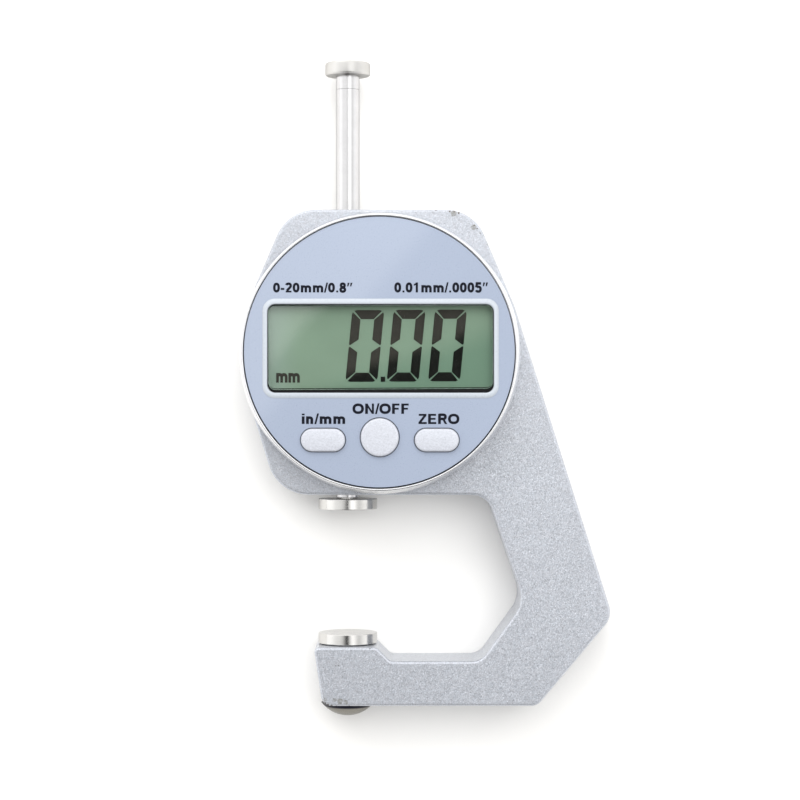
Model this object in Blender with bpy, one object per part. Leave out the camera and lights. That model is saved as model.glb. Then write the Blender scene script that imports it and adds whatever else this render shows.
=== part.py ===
"""Digital thickness gauge: a C-shaped frame with a round digital head, a lifted spindle and a fixed anvil.

Sizes are in millimetres in the gauge's own frame. Its origin is the centre of the anvil's measuring face,
X runs into the throat, Y along the spindle towards the lifting knob, and Z towards the dial.
Every piece hangs on one empty, which lays the gauge on its back, over the middle of its bounding box.
"""

import math

import bmesh
import bpy
from mathutils import Vector

MM = 0.001
GAP = 0.3  # between pieces that touch on the real gauge
SEAM = 0.15  # the same where the joint line is in view
FACE_GAP = 0.2  # round the face plate and the buttons
RUNNING = 0.08  # radial clearance of a shaft that slides in its hole

# Frame
FRAME_HALF = 6.25  # half the casting's thickness
FRAME_EDGE = 0.45  # rounding along its edges
HEAD_TOP, HEAD_BOTTOM = 71.4, 23.6
FOOT_BOTTOM, ARM_TOP, BOSS_TOP = -11.74, -4.24, -1.9
FRAME_CORNERS = (  # x, y and radius of each corner, clockwise from the head's upper left
    (-9.89, HEAD_TOP, 7.0),
    (21.2, HEAD_TOP, 7.0),
    (28.07, 55.25, 20.0),
    (44.5, 3.25, 3.5),
    (31.87, FOOT_BOTTOM, 2.0),
    (-4.18, FOOT_BOTTOM, 1.2),
    (-5.47, BOSS_TOP, 0.8),
    (4.95, BOSS_TOP, 1.2),
    (7.29, ARM_TOP, 1.2),
    (22.4, ARM_TOP, 3.0),
    (29.66, 5.76, 5.0),
    (23.5, HEAD_BOTTOM, 3.7),
    (-11.6, HEAD_BOTTOM, 7.2),
    (-19.4, 49.1, 23.5),
)

# Spindle line, on X = 0, Z = 0
SPINDLE_R = 2.0
CONTACT_R, CONTACT_LOW, CONTACT_HIGH = 5.0, 20.97, 22.78
KNOB_R, KNOB_LOW, KNOB_HIGH = 3.85, 94.6, 96.8
SPINDLE_LOW, SPINDLE_HIGH = CONTACT_HIGH + SEAM, 92.1
SHANK_R, SHANK_LENGTH = 1.2, 3.6  # threaded ends of the contact and the knob
ANVIL_R, ANVIL_THICK = 5.0, 1.75
ANVIL_SHANK_R, ANVIL_THREAD_R, ANVIL_THREAD_END = 2.5, 1.5, -13.0
NUT_R, NUT_END = 4.5, -14.1
BUSH_R = 3.4

# Hollow in the head: a round bore and a slot for the carrier
HEAD_X, HEAD_Y = 5.5, 47.3
CAVITY_R = 17.5
SLOT_LEFT, SLOT_RIGHT = -7.0, 6.0
SLOT_LOW, SLOT_HIGH = HEAD_Y - 16.3, HEAD_Y + 16.3

# Carrier on the spindle, and its guide rod
CARRIER_LOW, CARRIER_HIGH = 54.0, SLOT_HIGH - 0.6
CARRIER_FLOOR, CARRIER_SHOULDER, CARRIER_TOP = -4.2, 3.4, 6.6
CARRIER_LEFT, CARRIER_RIGHT = -6.4, 5.0
TABLE_HALF, TABLE_LOW, NECK_HALF = 4.5, 5.6, 2.5
STRIP_LOW, STRIP_HIGH = CARRIER_TOP + GAP, 7.7
GUIDE_X, GUIDE_Z, GUIDE_R = -4.6, -2.7, 0.9
GUIDE_DEPTH = 2.0  # of each end in the frame
SET_SCREW_R = 1.0

# Head case: a turned ring with a flange, from the frame's front face to the dial
CASE_LOW = FRAME_HALF + 0.25
CASE_HIGH = 14.25
CASE_BASE_R, CASE_RIM_R = 23.5, 22.7
FLANGE_HIGH, FLANGE_R = 7.7, 16.9
CASE_INNER_R, LEDGE_Z = 21.9, 12.5
FACE_R, FACE_LOW, FACE_HIGH = 22.15, 12.8, 14.0
BOARD_R, BOARD_LOW, BOARD_HIGH = 21.5, 8.0, 9.0

# Window and display, about a centre given from the head's centre
WINDOW_X, WINDOW_Y = 0.2, 0.65
BEZEL_SIZE, BEZEL_CORNER = (38.7, 16.3), 2.0
INSERT_SIZE, INSERT_CORNER = (37.9, 15.5), 1.6
WINDOW_SIZE, WINDOW_CORNER = (37.1, 14.5), 1.3
BEZEL_LOW, BEZEL_SHELF, BEZEL_HIGH = 12.9, FACE_HIGH + 0.1, 14.25
LENS_SIZE, LENS_RISE = (36.8, 14.0), 0.1
LENS_LOW, LENS_HIGH = 12.9, 13.8
GASKET_OPENING = (36.9, 14.1)
GASKET_LOW, GASKET_HIGH = 12.25, 12.6
DISPLAY_SIZE = (37.5, 15.2)
DISPLAY_LOW, DISPLAY_HIGH = 10.75, 11.95
HOLDER_OPENING = (DISPLAY_SIZE[0] + 2 * GAP, DISPLAY_SIZE[1] + 2 * GAP)
HOLDER_HALF_HEIGHT = 9.1
ZEBRA_SIZE, ZEBRA_Y = (34.0, 1.4), 6.85
CHIP_SIZE = (9.0, 9.0)

# Buttons, from the head's centre
PILL_LENGTH, PILL_WIDTH = 7.45, 4.04
PILL_X, PILL_Y = 9.3, -14.35
ROUND_R, ROUND_X, ROUND_Y = 3.235, 0.1, -13.9
BUTTON_LOW, BUTTON_HIGH, BUTTON_LIP = 11.7, 14.9, 0.5
BUTTON_EDGE = 0.35
KEYPAD_HALF, KEYPAD_LOW_Y, KEYPAD_HIGH_Y = 12.6, -17.0, -10.8
KEYPAD_LOW, KEYPAD_HIGH, DOME_HIGH = BOARD_HIGH + GAP, 10.1, 11.1

# Battery and rear cover
CELL_X, CELL_Y = 14.2, HEAD_Y
CELL_R, CELL_LOW, CELL_HIGH = 5.8, -2.8, 2.6
HOLDER_R, HOLDER_HIGH = 7.2, 4.2
COVER_R, COVER_LOW, COVER_HIGH = 21.5, -6.15, -4.75
COLLAR_R, COLLAR_HIGH = 8.2, -3.9
CAP_R, CAP_SHELF, CAP_HIGH = 7.4, -5.65, -3.1
SPIGOT_R, CAP_SEAT_Z = 6.2, -4.9
LUG_R, LUG_LOW, LUG_WIDTH = 7.1, -3.6, 2.6
CAP_TURN = math.radians(45)

# Screws: radius of the circle they stand on, and the angles round the head's centre
CASE_SCREW_CIRCLE, CASE_SCREW_ANGLES = 20.0, (90, 210, 330)
BOARD_SCREW_CIRCLE, BOARD_SCREW_ANGLES = 19.6, (40, 140, 270)
COVER_SCREW_CIRCLE, COVER_SCREW_ANGLES = 19.4, (30, 150, 210, 330)
CASE_SCREW_R, CASE_SCREW_HEAD, CASE_SCREW_END = 1.0, 1.9, 1.8
BOARD_SCREW_R, BOARD_SCREW_HEAD = 0.8, 1.5
COVER_SCREW_R, COVER_SCREW_HEAD, COVER_SCREW_END = 0.8, 1.6, -2.0

ALONG_Y = (math.radians(-90), 0, 0)  # turns a piece's own Z axis to the gauge's Y axis

FINISHES = {  # colour, roughness and metallic value
    "silver_paint": ((0.55, 0.57, 0.6), 0.45, 0.5),
    "polished_steel": ((0.62, 0.61, 0.59), 0.22, 1.0),
    "turned_steel": ((0.66, 0.67, 0.68), 0.35, 1.0),
    "bronze": ((0.55, 0.38, 0.18), 0.35, 1.0),
    "face_blue_grey": ((0.48, 0.53, 0.62), 0.35, 0.0),
    "bezel_white": ((0.78, 0.82, 0.9), 0.3, 0.0),
    "clear_lens": ((0.9, 0.95, 0.93), 0.05, 0.0),
    "display_green": ((0.28, 0.38, 0.29), 0.2, 0.0),
    "button_silver": ((0.82, 0.83, 0.86), 0.4, 0.2),
    "black_rubber": ((0.02, 0.02, 0.02), 0.8, 0.0),
    "grey_plastic": ((0.2, 0.2, 0.21), 0.5, 0.0),
    "white_plastic": ((0.75, 0.75, 0.72), 0.5, 0.0),
    "board_green": ((0.02, 0.16, 0.07), 0.4, 0.0),
    "chip_black": ((0.03, 0.03, 0.03), 0.6, 0.0),
    "aluminium": ((0.7, 0.7, 0.71), 0.35, 1.0),
    "cell_steel": ((0.72, 0.72, 0.7), 0.2, 1.0),
    "gold_plate": ((0.8, 0.6, 0.25), 0.25, 1.0),
}


def material(finish):
    """The Principled material of that finish, made once."""
    found = bpy.data.materials.get(finish)
    if found:
        return found
    colour, roughness, metallic = FINISHES[finish]
    made = bpy.data.materials.new(finish)
    made.use_nodes = True
    shader = made.node_tree.nodes["Principled BSDF"]
    shader.inputs["Base Color"].default_value = (*colour, 1)
    shader.inputs["Roughness"].default_value = roughness
    shader.inputs["Metallic"].default_value = metallic
    return made


def clear_scene():
    for old in list(bpy.data.objects):
        bpy.data.objects.remove(old)


def empty(name, place=(0, 0, 0), parent=None):
    made = bpy.data.objects.new(name, None)
    bpy.context.scene.collection.objects.link(made)
    made.location = Vector(place) * MM
    made.parent = parent
    return made


def solid(name, bm, finish, parent, place=(0, 0, 0), turn=(0, 0, 0)):
    """Makes bm, drawn in millimetres, into a named object at place under parent."""
    bmesh.ops.recalc_face_normals(bm, faces=bm.faces)
    bmesh.ops.scale(bm, vec=(MM, MM, MM), verts=bm.verts)
    mesh = bpy.data.meshes.new(name)
    bm.to_mesh(mesh)
    bm.free()
    mesh.shade_smooth()
    mesh.set_sharp_from_angle(angle=math.radians(30))
    made = bpy.data.objects.new(name, mesh)
    bpy.context.scene.collection.objects.link(made)
    made.data.materials.append(material(finish))
    made.location = Vector(place) * MM
    made.rotation_euler = turn
    made.parent = parent
    return made


def combine(target, operation, bm, parent, place=(0, 0, 0), turn=(0, 0, 0)):
    """Cuts bm from target, or joins it on, with a Boolean. bm becomes a hidden tool."""
    name = f"{target.name}_tool_{len(target.modifiers)}"
    tool = solid(name, bm, "grey_plastic", parent, place, turn)
    tool.hide_render = True
    tool.display_type = "WIRE"
    modifier = target.modifiers.new(name, "BOOLEAN")
    modifier.operation = operation
    modifier.object = tool


# Outlines


def arc(x, y, radius, start, end, most_step=12.0):
    """Points on an arc, from the start angle to the end angle, in degrees."""
    steps = max(1, math.ceil(abs(end - start) / most_step - 1e-6))
    angles = [math.radians(start + (end - start) * i / steps) for i in range(steps + 1)]
    return [Vector((x + radius * math.cos(a), y + radius * math.sin(a))) for a in angles]


def circle(radius, x=0.0, y=0.0, steps=40):
    return arc(x, y, radius, 0, 360, 360 / steps)[:-1]


def rectangle(size, corner, x=0.0, y=0.0):
    """A rectangle with rounded corners, from its right side's upper end, anticlockwise."""
    across, up = size[0] / 2 - corner, size[1] / 2 - corner
    centres = ((across, up, 0), (-across, up, 90), (-across, -up, 180), (across, -up, 270))
    points = []
    for dx, dy, start in centres:
        points += arc(x + dx, y + dy, corner, start, start + 90, 18)
    return points


def pill(length, width, grow=0.0, x=0.0, y=0.0):
    """A rectangle with half-round ends, grown by that much all round."""
    return rectangle((length + 2 * grow, width + 2 * grow), width / 2 + grow - 1e-4, x, y)


def rounded(corners, inset=0.0):
    """Points of a polygon given by its corners (x, y, radius), each side moved in by inset.

    Arcs stay concentric and keep their number of points, so outlines at two insets match point by point.
    """
    count = len(corners)
    ends = [Vector(corner[:2]) for corner in corners]
    area = sum(ends[i - 1].cross(ends[i]) for i in range(count))
    side = 1 if area > 0 else -1
    along = [(ends[(i + 1) % count] - ends[i]).normalized() for i in range(count)]
    inward = [Vector((-way.y, way.x)) * side for way in along]
    points = []
    for i, (*_, radius) in enumerate(corners):
        before, after = along[i - 1], along[i]
        turning = math.atan2(before.cross(after), before.dot(after))
        convex = turning * side > 0
        bend = radius - inset if convex else radius + inset
        normal = inward[i - 1] + inward[i]
        corner = ends[i] + normal * (inset / (1 + inward[i - 1].dot(inward[i])))
        towards = inward[i] if convex else -inward[i]
        tangent = bend * math.tan(abs(turning) / 2)
        centre = corner + after * tangent + towards * bend
        first = centre - (inward[i - 1] if convex else -inward[i - 1]) * bend
        start = math.degrees(math.atan2((first - centre).y, (first - centre).x))
        points += arc(centre.x, centre.y, bend, start, start + math.degrees(turning))
    return points


# Solids, each drawn round or along its own Z axis


def at_height(points, z):
    return [Vector((p.x, p.y, z)) for p in points]


def loft(loops, ring=False):
    """Skins matching loops of points. The ends are capped, or joined to each other for a ring."""
    bm = bmesh.new()
    rows = [[bm.verts.new(p) for p in loop] for loop in loops]
    pairs = list(zip(rows, rows[1:]))
    if ring:
        pairs.append((rows[-1], rows[0]))
    else:
        bm.faces.new(rows[0])
        bm.faces.new(rows[-1])
    for lower, upper in pairs:
        for i in range(len(lower)):
            bm.faces.new((lower[i - 1], lower[i], upper[i], upper[i - 1]))
    return bm


def turned(profile, steps=24):
    """A solid of revolution. The profile's points are (radius, height), from axis to axis or round a ring."""
    bm = bmesh.new()
    rows = []
    for radius, height in profile:
        if radius == 0:
            rows.append([bm.verts.new((0, 0, height))])
        else:
            rows.append([bm.verts.new(p) for p in at_height(circle(radius, steps=steps), height)])
    if len(rows[0]) > 1:
        rows.append(rows[0])
    for lower, upper in zip(rows, rows[1:]):
        for i in range(steps):
            corners = [lower[i - 1], lower[i]] if len(lower) > 1 else [lower[0]]
            corners += [upper[i], upper[i - 1]] if len(upper) > 1 else [upper[0]]
            bm.faces.new(corners)
    return bm


def prism(outer, low, high, holes=()):
    """An outline with holes, extruded from low to high."""
    bm = bmesh.new()
    for points in (outer, *holes):
        verts = [bm.verts.new((p[0], p[1], low)) for p in points]
        for i in range(len(verts)):
            bm.edges.new((verts[i - 1], verts[i]))
    bmesh.ops.triangle_fill(bm, use_beauty=True, edges=bm.edges)
    raised = bmesh.ops.extrude_face_region(bm, geom=bm.faces)["geom"]
    top = [item for item in raised if isinstance(item, bmesh.types.BMVert)]
    bmesh.ops.translate(bm, vec=(0, 0, high - low), verts=top)
    return bm


def cylinder(radius, low, high, x=0.0, y=0.0, steps=24):
    return prism(circle(radius, x, y, steps), low, high)


def box(low, high):
    outline = ((low[0], low[1]), (high[0], low[1]), (high[0], high[1]), (low[0], high[1]))
    return prism(outline, low[2], high[2])


def round_places(circle_radius, angles):
    """Points on a circle round the head's centre, in the gauge's frame."""
    return [
        (
            HEAD_X + circle_radius * math.cos(math.radians(angle)),
            HEAD_Y + circle_radius * math.sin(math.radians(angle)),
        )
        for angle in angles
    ]


def countersunk_screw(name, shank, head, length, parent, place, turn=(0, 0, 0)):
    """A countersunk screw with a tapered drive recess. Its origin is the middle of its head's flat."""
    depth = head - shank
    profile = (
        (0, -depth),
        (0.45 * head, 0),
        (head, 0),
        (head, -0.1),
        (shank, -depth - 0.1),
        (shank, 0.3 - length),
        (shank - 0.3, -length),
        (0, -length),
    )
    return solid(name, turned(profile, 12), "polished_steel", parent, place, turn)


def countersink(shank, head, length):
    """The hole that a countersunk screw goes in, with the gap round it, standing past the surface."""
    depth = head - shank
    profile = (
        (0, 1.0),
        (head + GAP, 1.0),
        (head + GAP, -0.1),
        (shank + GAP, -depth - 0.1),
        (shank + GAP, -length - GAP),
        (0, -length - GAP),
    )
    return turned(profile, 12)


# Pieces


def make_frame(root):
    levels = []
    for height, way in ((-FRAME_HALF, 1), (FRAME_HALF, -1)):
        corner = [math.radians(45 * i) for i in range(3)]
        edge = [(FRAME_EDGE * (1 - math.sin(a)), height + way * FRAME_EDGE * (1 - math.cos(a))) for a in corner]
        levels += edge if way > 0 else edge[::-1]
    loops = [at_height(rounded(FRAME_CORNERS, inset), z) for inset, z in levels]
    frame = solid("frame", loft(loops), "silver_paint", root)
    beyond = FRAME_HALF + 1
    combine(frame, "DIFFERENCE", cylinder(CAVITY_R, -beyond, beyond, HEAD_X, HEAD_Y, 48), root)
    slot = box((SLOT_LEFT, SLOT_LOW, -beyond), (SLOT_RIGHT, SLOT_HIGH, beyond))
    combine(frame, "DIFFERENCE", slot, root)
    seat = cylinder(COVER_R + GAP, -beyond, COVER_HIGH + GAP, HEAD_X, HEAD_Y, 64)
    combine(frame, "DIFFERENCE", seat, root)
    combine(frame, "DIFFERENCE", cylinder(BUSH_R + GAP, HEAD_BOTTOM - 2, HEAD_TOP + 2), root, turn=ALONG_Y)
    anvil_bore = cylinder(ANVIL_SHANK_R + GAP, FOOT_BOTTOM - 2, BOSS_TOP + 2)
    combine(frame, "DIFFERENCE", anvil_bore, root, turn=ALONG_Y)
    guide_ends = SLOT_LOW - GUIDE_DEPTH - GAP, SLOT_HIGH + GUIDE_DEPTH + GAP
    guide_bore = cylinder(GUIDE_R + GAP, *guide_ends, GUIDE_X, -GUIDE_Z, 16)
    combine(frame, "DIFFERENCE", guide_bore, root, turn=ALONG_Y)
    for x, y in round_places(CASE_SCREW_CIRCLE, CASE_SCREW_ANGLES):
        hole = cylinder(CASE_SCREW_R + GAP, CASE_SCREW_END - GAP, beyond, x, y, 12)
        combine(frame, "DIFFERENCE", hole, root)
    for x, y in round_places(COVER_SCREW_CIRCLE, COVER_SCREW_ANGLES):
        hole = cylinder(COVER_SCREW_R + GAP, -beyond, COVER_SCREW_END + GAP, x, y, 12)
        combine(frame, "DIFFERENCE", hole, root)


def make_anvil(root):
    edge = 0.15
    disc = (
        (0, 0),
        (ANVIL_R - edge, 0),
        (ANVIL_R, -edge),
        (ANVIL_R, edge - ANVIL_THICK),
        (ANVIL_R - edge, -ANVIL_THICK),
        (ANVIL_SHANK_R, -ANVIL_THICK),
        (ANVIL_SHANK_R, FOOT_BOTTOM + SEAM),
        (ANVIL_THREAD_R, FOOT_BOTTOM + SEAM),
        (ANVIL_THREAD_R, ANVIL_THREAD_END),
        (0, ANVIL_THREAD_END),
    )
    solid("anvil", turned(disc, 32), "polished_steel", root, turn=ALONG_Y)


def make_anvil_nut(root):
    """A domed nut: a spherical cap with a blind hole for the anvil's thread."""
    base = FOOT_BOTTOM - SEAM
    rise = base - NUT_END
    sphere = (NUT_R**2 + rise**2) / (2 * rise)
    half_angle = math.asin(NUT_R / sphere)
    steps = 4
    dome = []
    for i in range(steps + 1):
        angle = half_angle * i / steps
        dome.append((sphere * math.sin(angle), NUT_END + sphere * (1 - math.cos(angle))))
    bore = ANVIL_THREAD_R + GAP
    hole = [(bore, base), (bore, ANVIL_THREAD_END - GAP), (0, ANVIL_THREAD_END - GAP)]
    solid("anvil_nut", turned(dome + hole, 32), "polished_steel", root, turn=ALONG_Y)


def make_spindle(axis):
    bore, edge = SHANK_R + GAP, 0.05
    low_end = CONTACT_HIGH + SHANK_LENGTH + GAP
    high_end = SPINDLE_HIGH - SHANK_LENGTH - GAP
    profile = (
        (0, low_end),
        (bore, low_end),
        (bore, SPINDLE_LOW),
        (SPINDLE_R - edge, SPINDLE_LOW),
        (SPINDLE_R, SPINDLE_LOW + edge),
        (SPINDLE_R, SPINDLE_HIGH - edge),
        (SPINDLE_R - edge, SPINDLE_HIGH),
        (bore, SPINDLE_HIGH),
        (bore, high_end),
        (0, high_end),
    )
    solid("spindle", turned(profile), "polished_steel", axis, turn=ALONG_Y)


def make_spindle_contact(axis):
    edge = 0.15
    profile = (
        (0, CONTACT_LOW),
        (CONTACT_R - edge, CONTACT_LOW),
        (CONTACT_R, CONTACT_LOW + edge),
        (CONTACT_R, CONTACT_HIGH - edge),
        (CONTACT_R - edge, CONTACT_HIGH),
        (SHANK_R, CONTACT_HIGH),
        (SHANK_R, CONTACT_HIGH + SHANK_LENGTH),
        (0, CONTACT_HIGH + SHANK_LENGTH),
    )
    solid("spindle_contact", turned(profile, 32), "polished_steel", axis, turn=ALONG_Y)


def make_lifting_knob(axis):
    edge, neck_low = 0.35, SPINDLE_HIGH + SEAM
    profile = [(0, SPINDLE_HIGH - SHANK_LENGTH), (SHANK_R, SPINDLE_HIGH - SHANK_LENGTH)]
    profile += [(SHANK_R, neck_low), (SPINDLE_R, neck_low), (SPINDLE_R, KNOB_LOW)]
    for y, start in ((KNOB_LOW + edge, -90), (KNOB_HIGH - edge, 0)):
        profile += [tuple(p) for p in arc(KNOB_R - edge, y, edge, start, start + 90, 45)]
    profile.append((0, KNOB_HIGH))
    solid("lifting_knob", turned(profile, 28), "polished_steel", axis, turn=ALONG_Y)


def make_bushes(root):
    """Two guide bushes. The lower one has a pocket for the drag ring at its inner end."""
    bore, pocket = SPINDLE_R + RUNNING, 2.95
    low, high = HEAD_BOTTOM + SEAM, SLOT_LOW - GAP
    step = high - 1.6
    lower = ((bore, low), (BUSH_R, low), (BUSH_R, high), (pocket, high), (pocket, step), (bore, step))
    solid("lower_bush", turned(lower), "bronze", root, turn=ALONG_Y)
    low, high = SLOT_HIGH + GAP, HEAD_TOP - SEAM
    upper = ((bore, low), (BUSH_R, low), (BUSH_R, high), (bore, high))
    solid("upper_bush", turned(upper), "bronze", root, turn=ALONG_Y)
    ring_low, ring_high, ring_r = step + 0.2, SLOT_LOW - GAP - 0.2, pocket - 0.25
    ring = ((bore, ring_low), (ring_r, ring_low), (ring_r, ring_high), (bore, ring_high))
    solid("drag_ring", turned(ring), "black_rubber", root, turn=ALONG_Y)


def make_carrier(axis):
    """The block clamped on the spindle. Its table carries the scale strip close under the board."""
    slope = 3.2
    profile = (
        (CARRIER_LEFT, CARRIER_FLOOR),
        (CARRIER_RIGHT, CARRIER_FLOOR),
        (CARRIER_RIGHT, CARRIER_SHOULDER),
        (NECK_HALF, CARRIER_SHOULDER),
        (NECK_HALF, TABLE_LOW),
        (TABLE_HALF, TABLE_LOW),
        (TABLE_HALF, CARRIER_TOP),
        (-TABLE_HALF, CARRIER_TOP),
        (-TABLE_HALF, TABLE_LOW),
        (-NECK_HALF, TABLE_LOW),
        (-NECK_HALF, CARRIER_SHOULDER),
        (CARRIER_LEFT + slope, CARRIER_SHOULDER),
        (CARRIER_LEFT, CARRIER_SHOULDER - slope),
    )
    outline = [(x, -z) for x, z in profile]
    holes = circle(SPINDLE_R + GAP, steps=32), circle(GUIDE_R + RUNNING, GUIDE_X, -GUIDE_Z, 16)
    block = prism(outline, CARRIER_LOW, CARRIER_HIGH, holes)
    carrier = solid("carrier", block, "aluminium", axis, turn=ALONG_Y)
    middle = (CARRIER_LOW + CARRIER_HIGH) / 2
    along_x = (0, math.radians(90), 0)
    hole = cylinder(SET_SCREW_R + GAP, SPINDLE_R, CARRIER_RIGHT + 1, steps=16)
    combine(carrier, "DIFFERENCE", hole, axis, (0, middle, 0), along_x)
    start, end, socket = SPINDLE_R + GAP, CARRIER_RIGHT - 0.1, 0.5
    screw = (
        (0, start),
        (0.6 * SET_SCREW_R, start),
        (SET_SCREW_R, start + 0.4),
        (SET_SCREW_R, end),
        (socket, end),
        (socket, end - 0.9),
        (0, end - 0.9),
    )
    solid("carrier_screw", turned(screw, 16), "polished_steel", axis, (0, middle, 0), along_x)
    strip = box((-TABLE_HALF, CARRIER_LOW, STRIP_LOW), (TABLE_HALF, CARRIER_HIGH, STRIP_HIGH))
    solid("scale_strip", strip, "gold_plate", axis)


def make_guide_rod(root):
    rod = cylinder(GUIDE_R, SLOT_LOW - GUIDE_DEPTH, SLOT_HIGH + GUIDE_DEPTH, steps=16)
    solid("guide_rod", rod, "polished_steel", root, (GUIDE_X, 0, GUIDE_Z), ALONG_Y)


def make_head_case(root):
    """A turned cup without a floor: a tapering wall, a ledge for the face plate and a flange at its foot."""
    lip = CASE_RIM_R - 0.35
    profile = (
        (FLANGE_R, CASE_LOW),
        (CASE_BASE_R - 0.2, CASE_LOW),
        (CASE_BASE_R, CASE_LOW + 0.2),
        (CASE_RIM_R + 0.05, CASE_HIGH - 0.25),
        (CASE_RIM_R - 0.08, CASE_HIGH),
        (lip + 0.07, CASE_HIGH),
        (lip, CASE_HIGH - 0.1),
        (lip, LEDGE_Z),
        (CASE_INNER_R, LEDGE_Z),
        (CASE_INNER_R, FLANGE_HIGH),
        (FLANGE_R, FLANGE_HIGH),
    )
    case = solid("head_case", turned(profile, 72), "turned_steel", root, (HEAD_X, HEAD_Y, 0))
    slot = box((SLOT_LEFT, SLOT_LOW, CASE_LOW - 1), (SLOT_RIGHT, SLOT_HIGH, FLANGE_HIGH + 1))
    combine(case, "DIFFERENCE", slot, root)
    length = FLANGE_HIGH - CASE_LOW + 1
    for x, y in round_places(CASE_SCREW_CIRCLE, CASE_SCREW_ANGLES):
        hole = countersink(CASE_SCREW_R, CASE_SCREW_HEAD, length)
        combine(case, "DIFFERENCE", hole, root, (x, y, FLANGE_HIGH))
    for x, y in round_places(BOARD_SCREW_CIRCLE, BOARD_SCREW_ANGLES):
        hole = cylinder(BOARD_SCREW_R + GAP, CASE_LOW + 0.1, FLANGE_HIGH + 1, x, y, 12)
        combine(case, "DIFFERENCE", hole, root)


def make_case_screws(root):
    head_z = FLANGE_HIGH - 0.05
    for i, (x, y) in enumerate(round_places(CASE_SCREW_CIRCLE, CASE_SCREW_ANGLES)):
        size = CASE_SCREW_R, CASE_SCREW_HEAD, head_z - CASE_SCREW_END
        countersunk_screw(f"case_screw_{i + 1}", *size, root, (x, y, head_z))


def make_face_plate(root):
    holes = [
        rectangle((INSERT_SIZE[0] + 2 * FACE_GAP, INSERT_SIZE[1] + 2 * FACE_GAP), 1.8, WINDOW_X, WINDOW_Y),
        pill(PILL_LENGTH, PILL_WIDTH, FACE_GAP, -PILL_X, PILL_Y),
        pill(PILL_LENGTH, PILL_WIDTH, FACE_GAP, PILL_X, PILL_Y),
        circle(ROUND_R + FACE_GAP, ROUND_X, ROUND_Y, 28),
    ]
    plate = prism(circle(FACE_R, steps=72), FACE_LOW, FACE_HIGH, holes)
    solid("face_plate", plate, "face_blue_grey", root, (HEAD_X, HEAD_Y, 0))


def window_place(rise=0.0):
    return HEAD_X + WINDOW_X, HEAD_Y + WINDOW_Y + rise, 0


def make_window(root):
    """A bezel that drops into the face plate, the clear lens in it, and the gasket under the lens."""
    section = (
        (INSERT_SIZE, INSERT_CORNER, BEZEL_SHELF),
        (BEZEL_SIZE, BEZEL_CORNER, BEZEL_SHELF),
        (BEZEL_SIZE, BEZEL_CORNER, BEZEL_HIGH),
        (WINDOW_SIZE, WINDOW_CORNER, BEZEL_HIGH),
        (WINDOW_SIZE, WINDOW_CORNER, BEZEL_LOW),
        (INSERT_SIZE, INSERT_CORNER, BEZEL_LOW),
    )
    loops = [at_height(rectangle(size, corner), z) for size, corner, z in section]
    solid("window_bezel", loft(loops, ring=True), "bezel_white", root, window_place())
    lens = prism(rectangle(LENS_SIZE, WINDOW_CORNER - SEAM), LENS_LOW, LENS_HIGH)
    solid("window_lens", lens, "clear_lens", root, window_place(LENS_RISE))
    opening = rectangle(GASKET_OPENING, 1.0, y=LENS_RISE)
    gasket = prism(rectangle(DISPLAY_SIZE, 0.3), GASKET_LOW, GASKET_HIGH, [opening])
    solid("window_gasket", gasket, "black_rubber", root, window_place())


def make_display(root):
    panel = prism(rectangle(DISPLAY_SIZE, 0.3), DISPLAY_LOW, DISPLAY_HIGH)
    solid("display_panel", panel, "display_green", root, window_place())
    top = math.degrees(math.asin((WINDOW_Y + HOLDER_HALF_HEIGHT) / BOARD_R))
    bottom = math.degrees(math.asin((WINDOW_Y - HOLDER_HALF_HEIGHT) / BOARD_R))
    outer = arc(0, 0, BOARD_R, bottom, top, 5) + arc(0, 0, BOARD_R, 180 - top, 180 - bottom, 5)
    opening = rectangle(HOLDER_OPENING, 0.6, WINDOW_X, WINDOW_Y)
    holder = prism(outer, BOARD_HIGH + GAP, LEDGE_Z, [opening])
    solid("display_holder", holder, "white_plastic", root, (HEAD_X, HEAD_Y, 0))
    for name, side in (("zebra_strip_upper", 1), ("zebra_strip_lower", -1)):
        strip = prism(rectangle(ZEBRA_SIZE, 0.1), BOARD_HIGH + GAP, DISPLAY_LOW - GAP)
        solid(name, strip, "black_rubber", root, window_place(side * ZEBRA_Y))


def make_board(root):
    holes = []
    for x, y in round_places(BOARD_SCREW_CIRCLE, BOARD_SCREW_ANGLES):
        holes.append(circle(BOARD_SCREW_R + GAP, x - HEAD_X, y - HEAD_Y, 16))
    board = prism(circle(BOARD_R, steps=48), BOARD_LOW, BOARD_HIGH, holes)
    solid("main_board", board, "board_green", root, (HEAD_X, HEAD_Y, 0))
    chip = prism(rectangle(CHIP_SIZE, 0.4), BOARD_HIGH + GAP, DISPLAY_LOW - GAP)
    solid("controller_chip", chip, "chip_black", root, window_place())


def make_board_screws(root):
    """Pan-head screws that hold the board down on the case's flange."""
    low, under, top = CASE_LOW + 0.4, BOARD_HIGH + 0.1, BOARD_HIGH + 0.9
    profile = (
        (0, low),
        (BOARD_SCREW_R, low),
        (BOARD_SCREW_R, under),
        (BOARD_SCREW_HEAD, under),
        (BOARD_SCREW_HEAD, top - 0.3),
        (BOARD_SCREW_HEAD - 0.4, top),
        (0.6, top),
        (0, top - 0.5),
    )
    for i, (x, y) in enumerate(round_places(BOARD_SCREW_CIRCLE, BOARD_SCREW_ANGLES)):
        solid(f"board_screw_{i + 1}", turned(profile, 12), "polished_steel", root, (x, y, 0))


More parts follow.
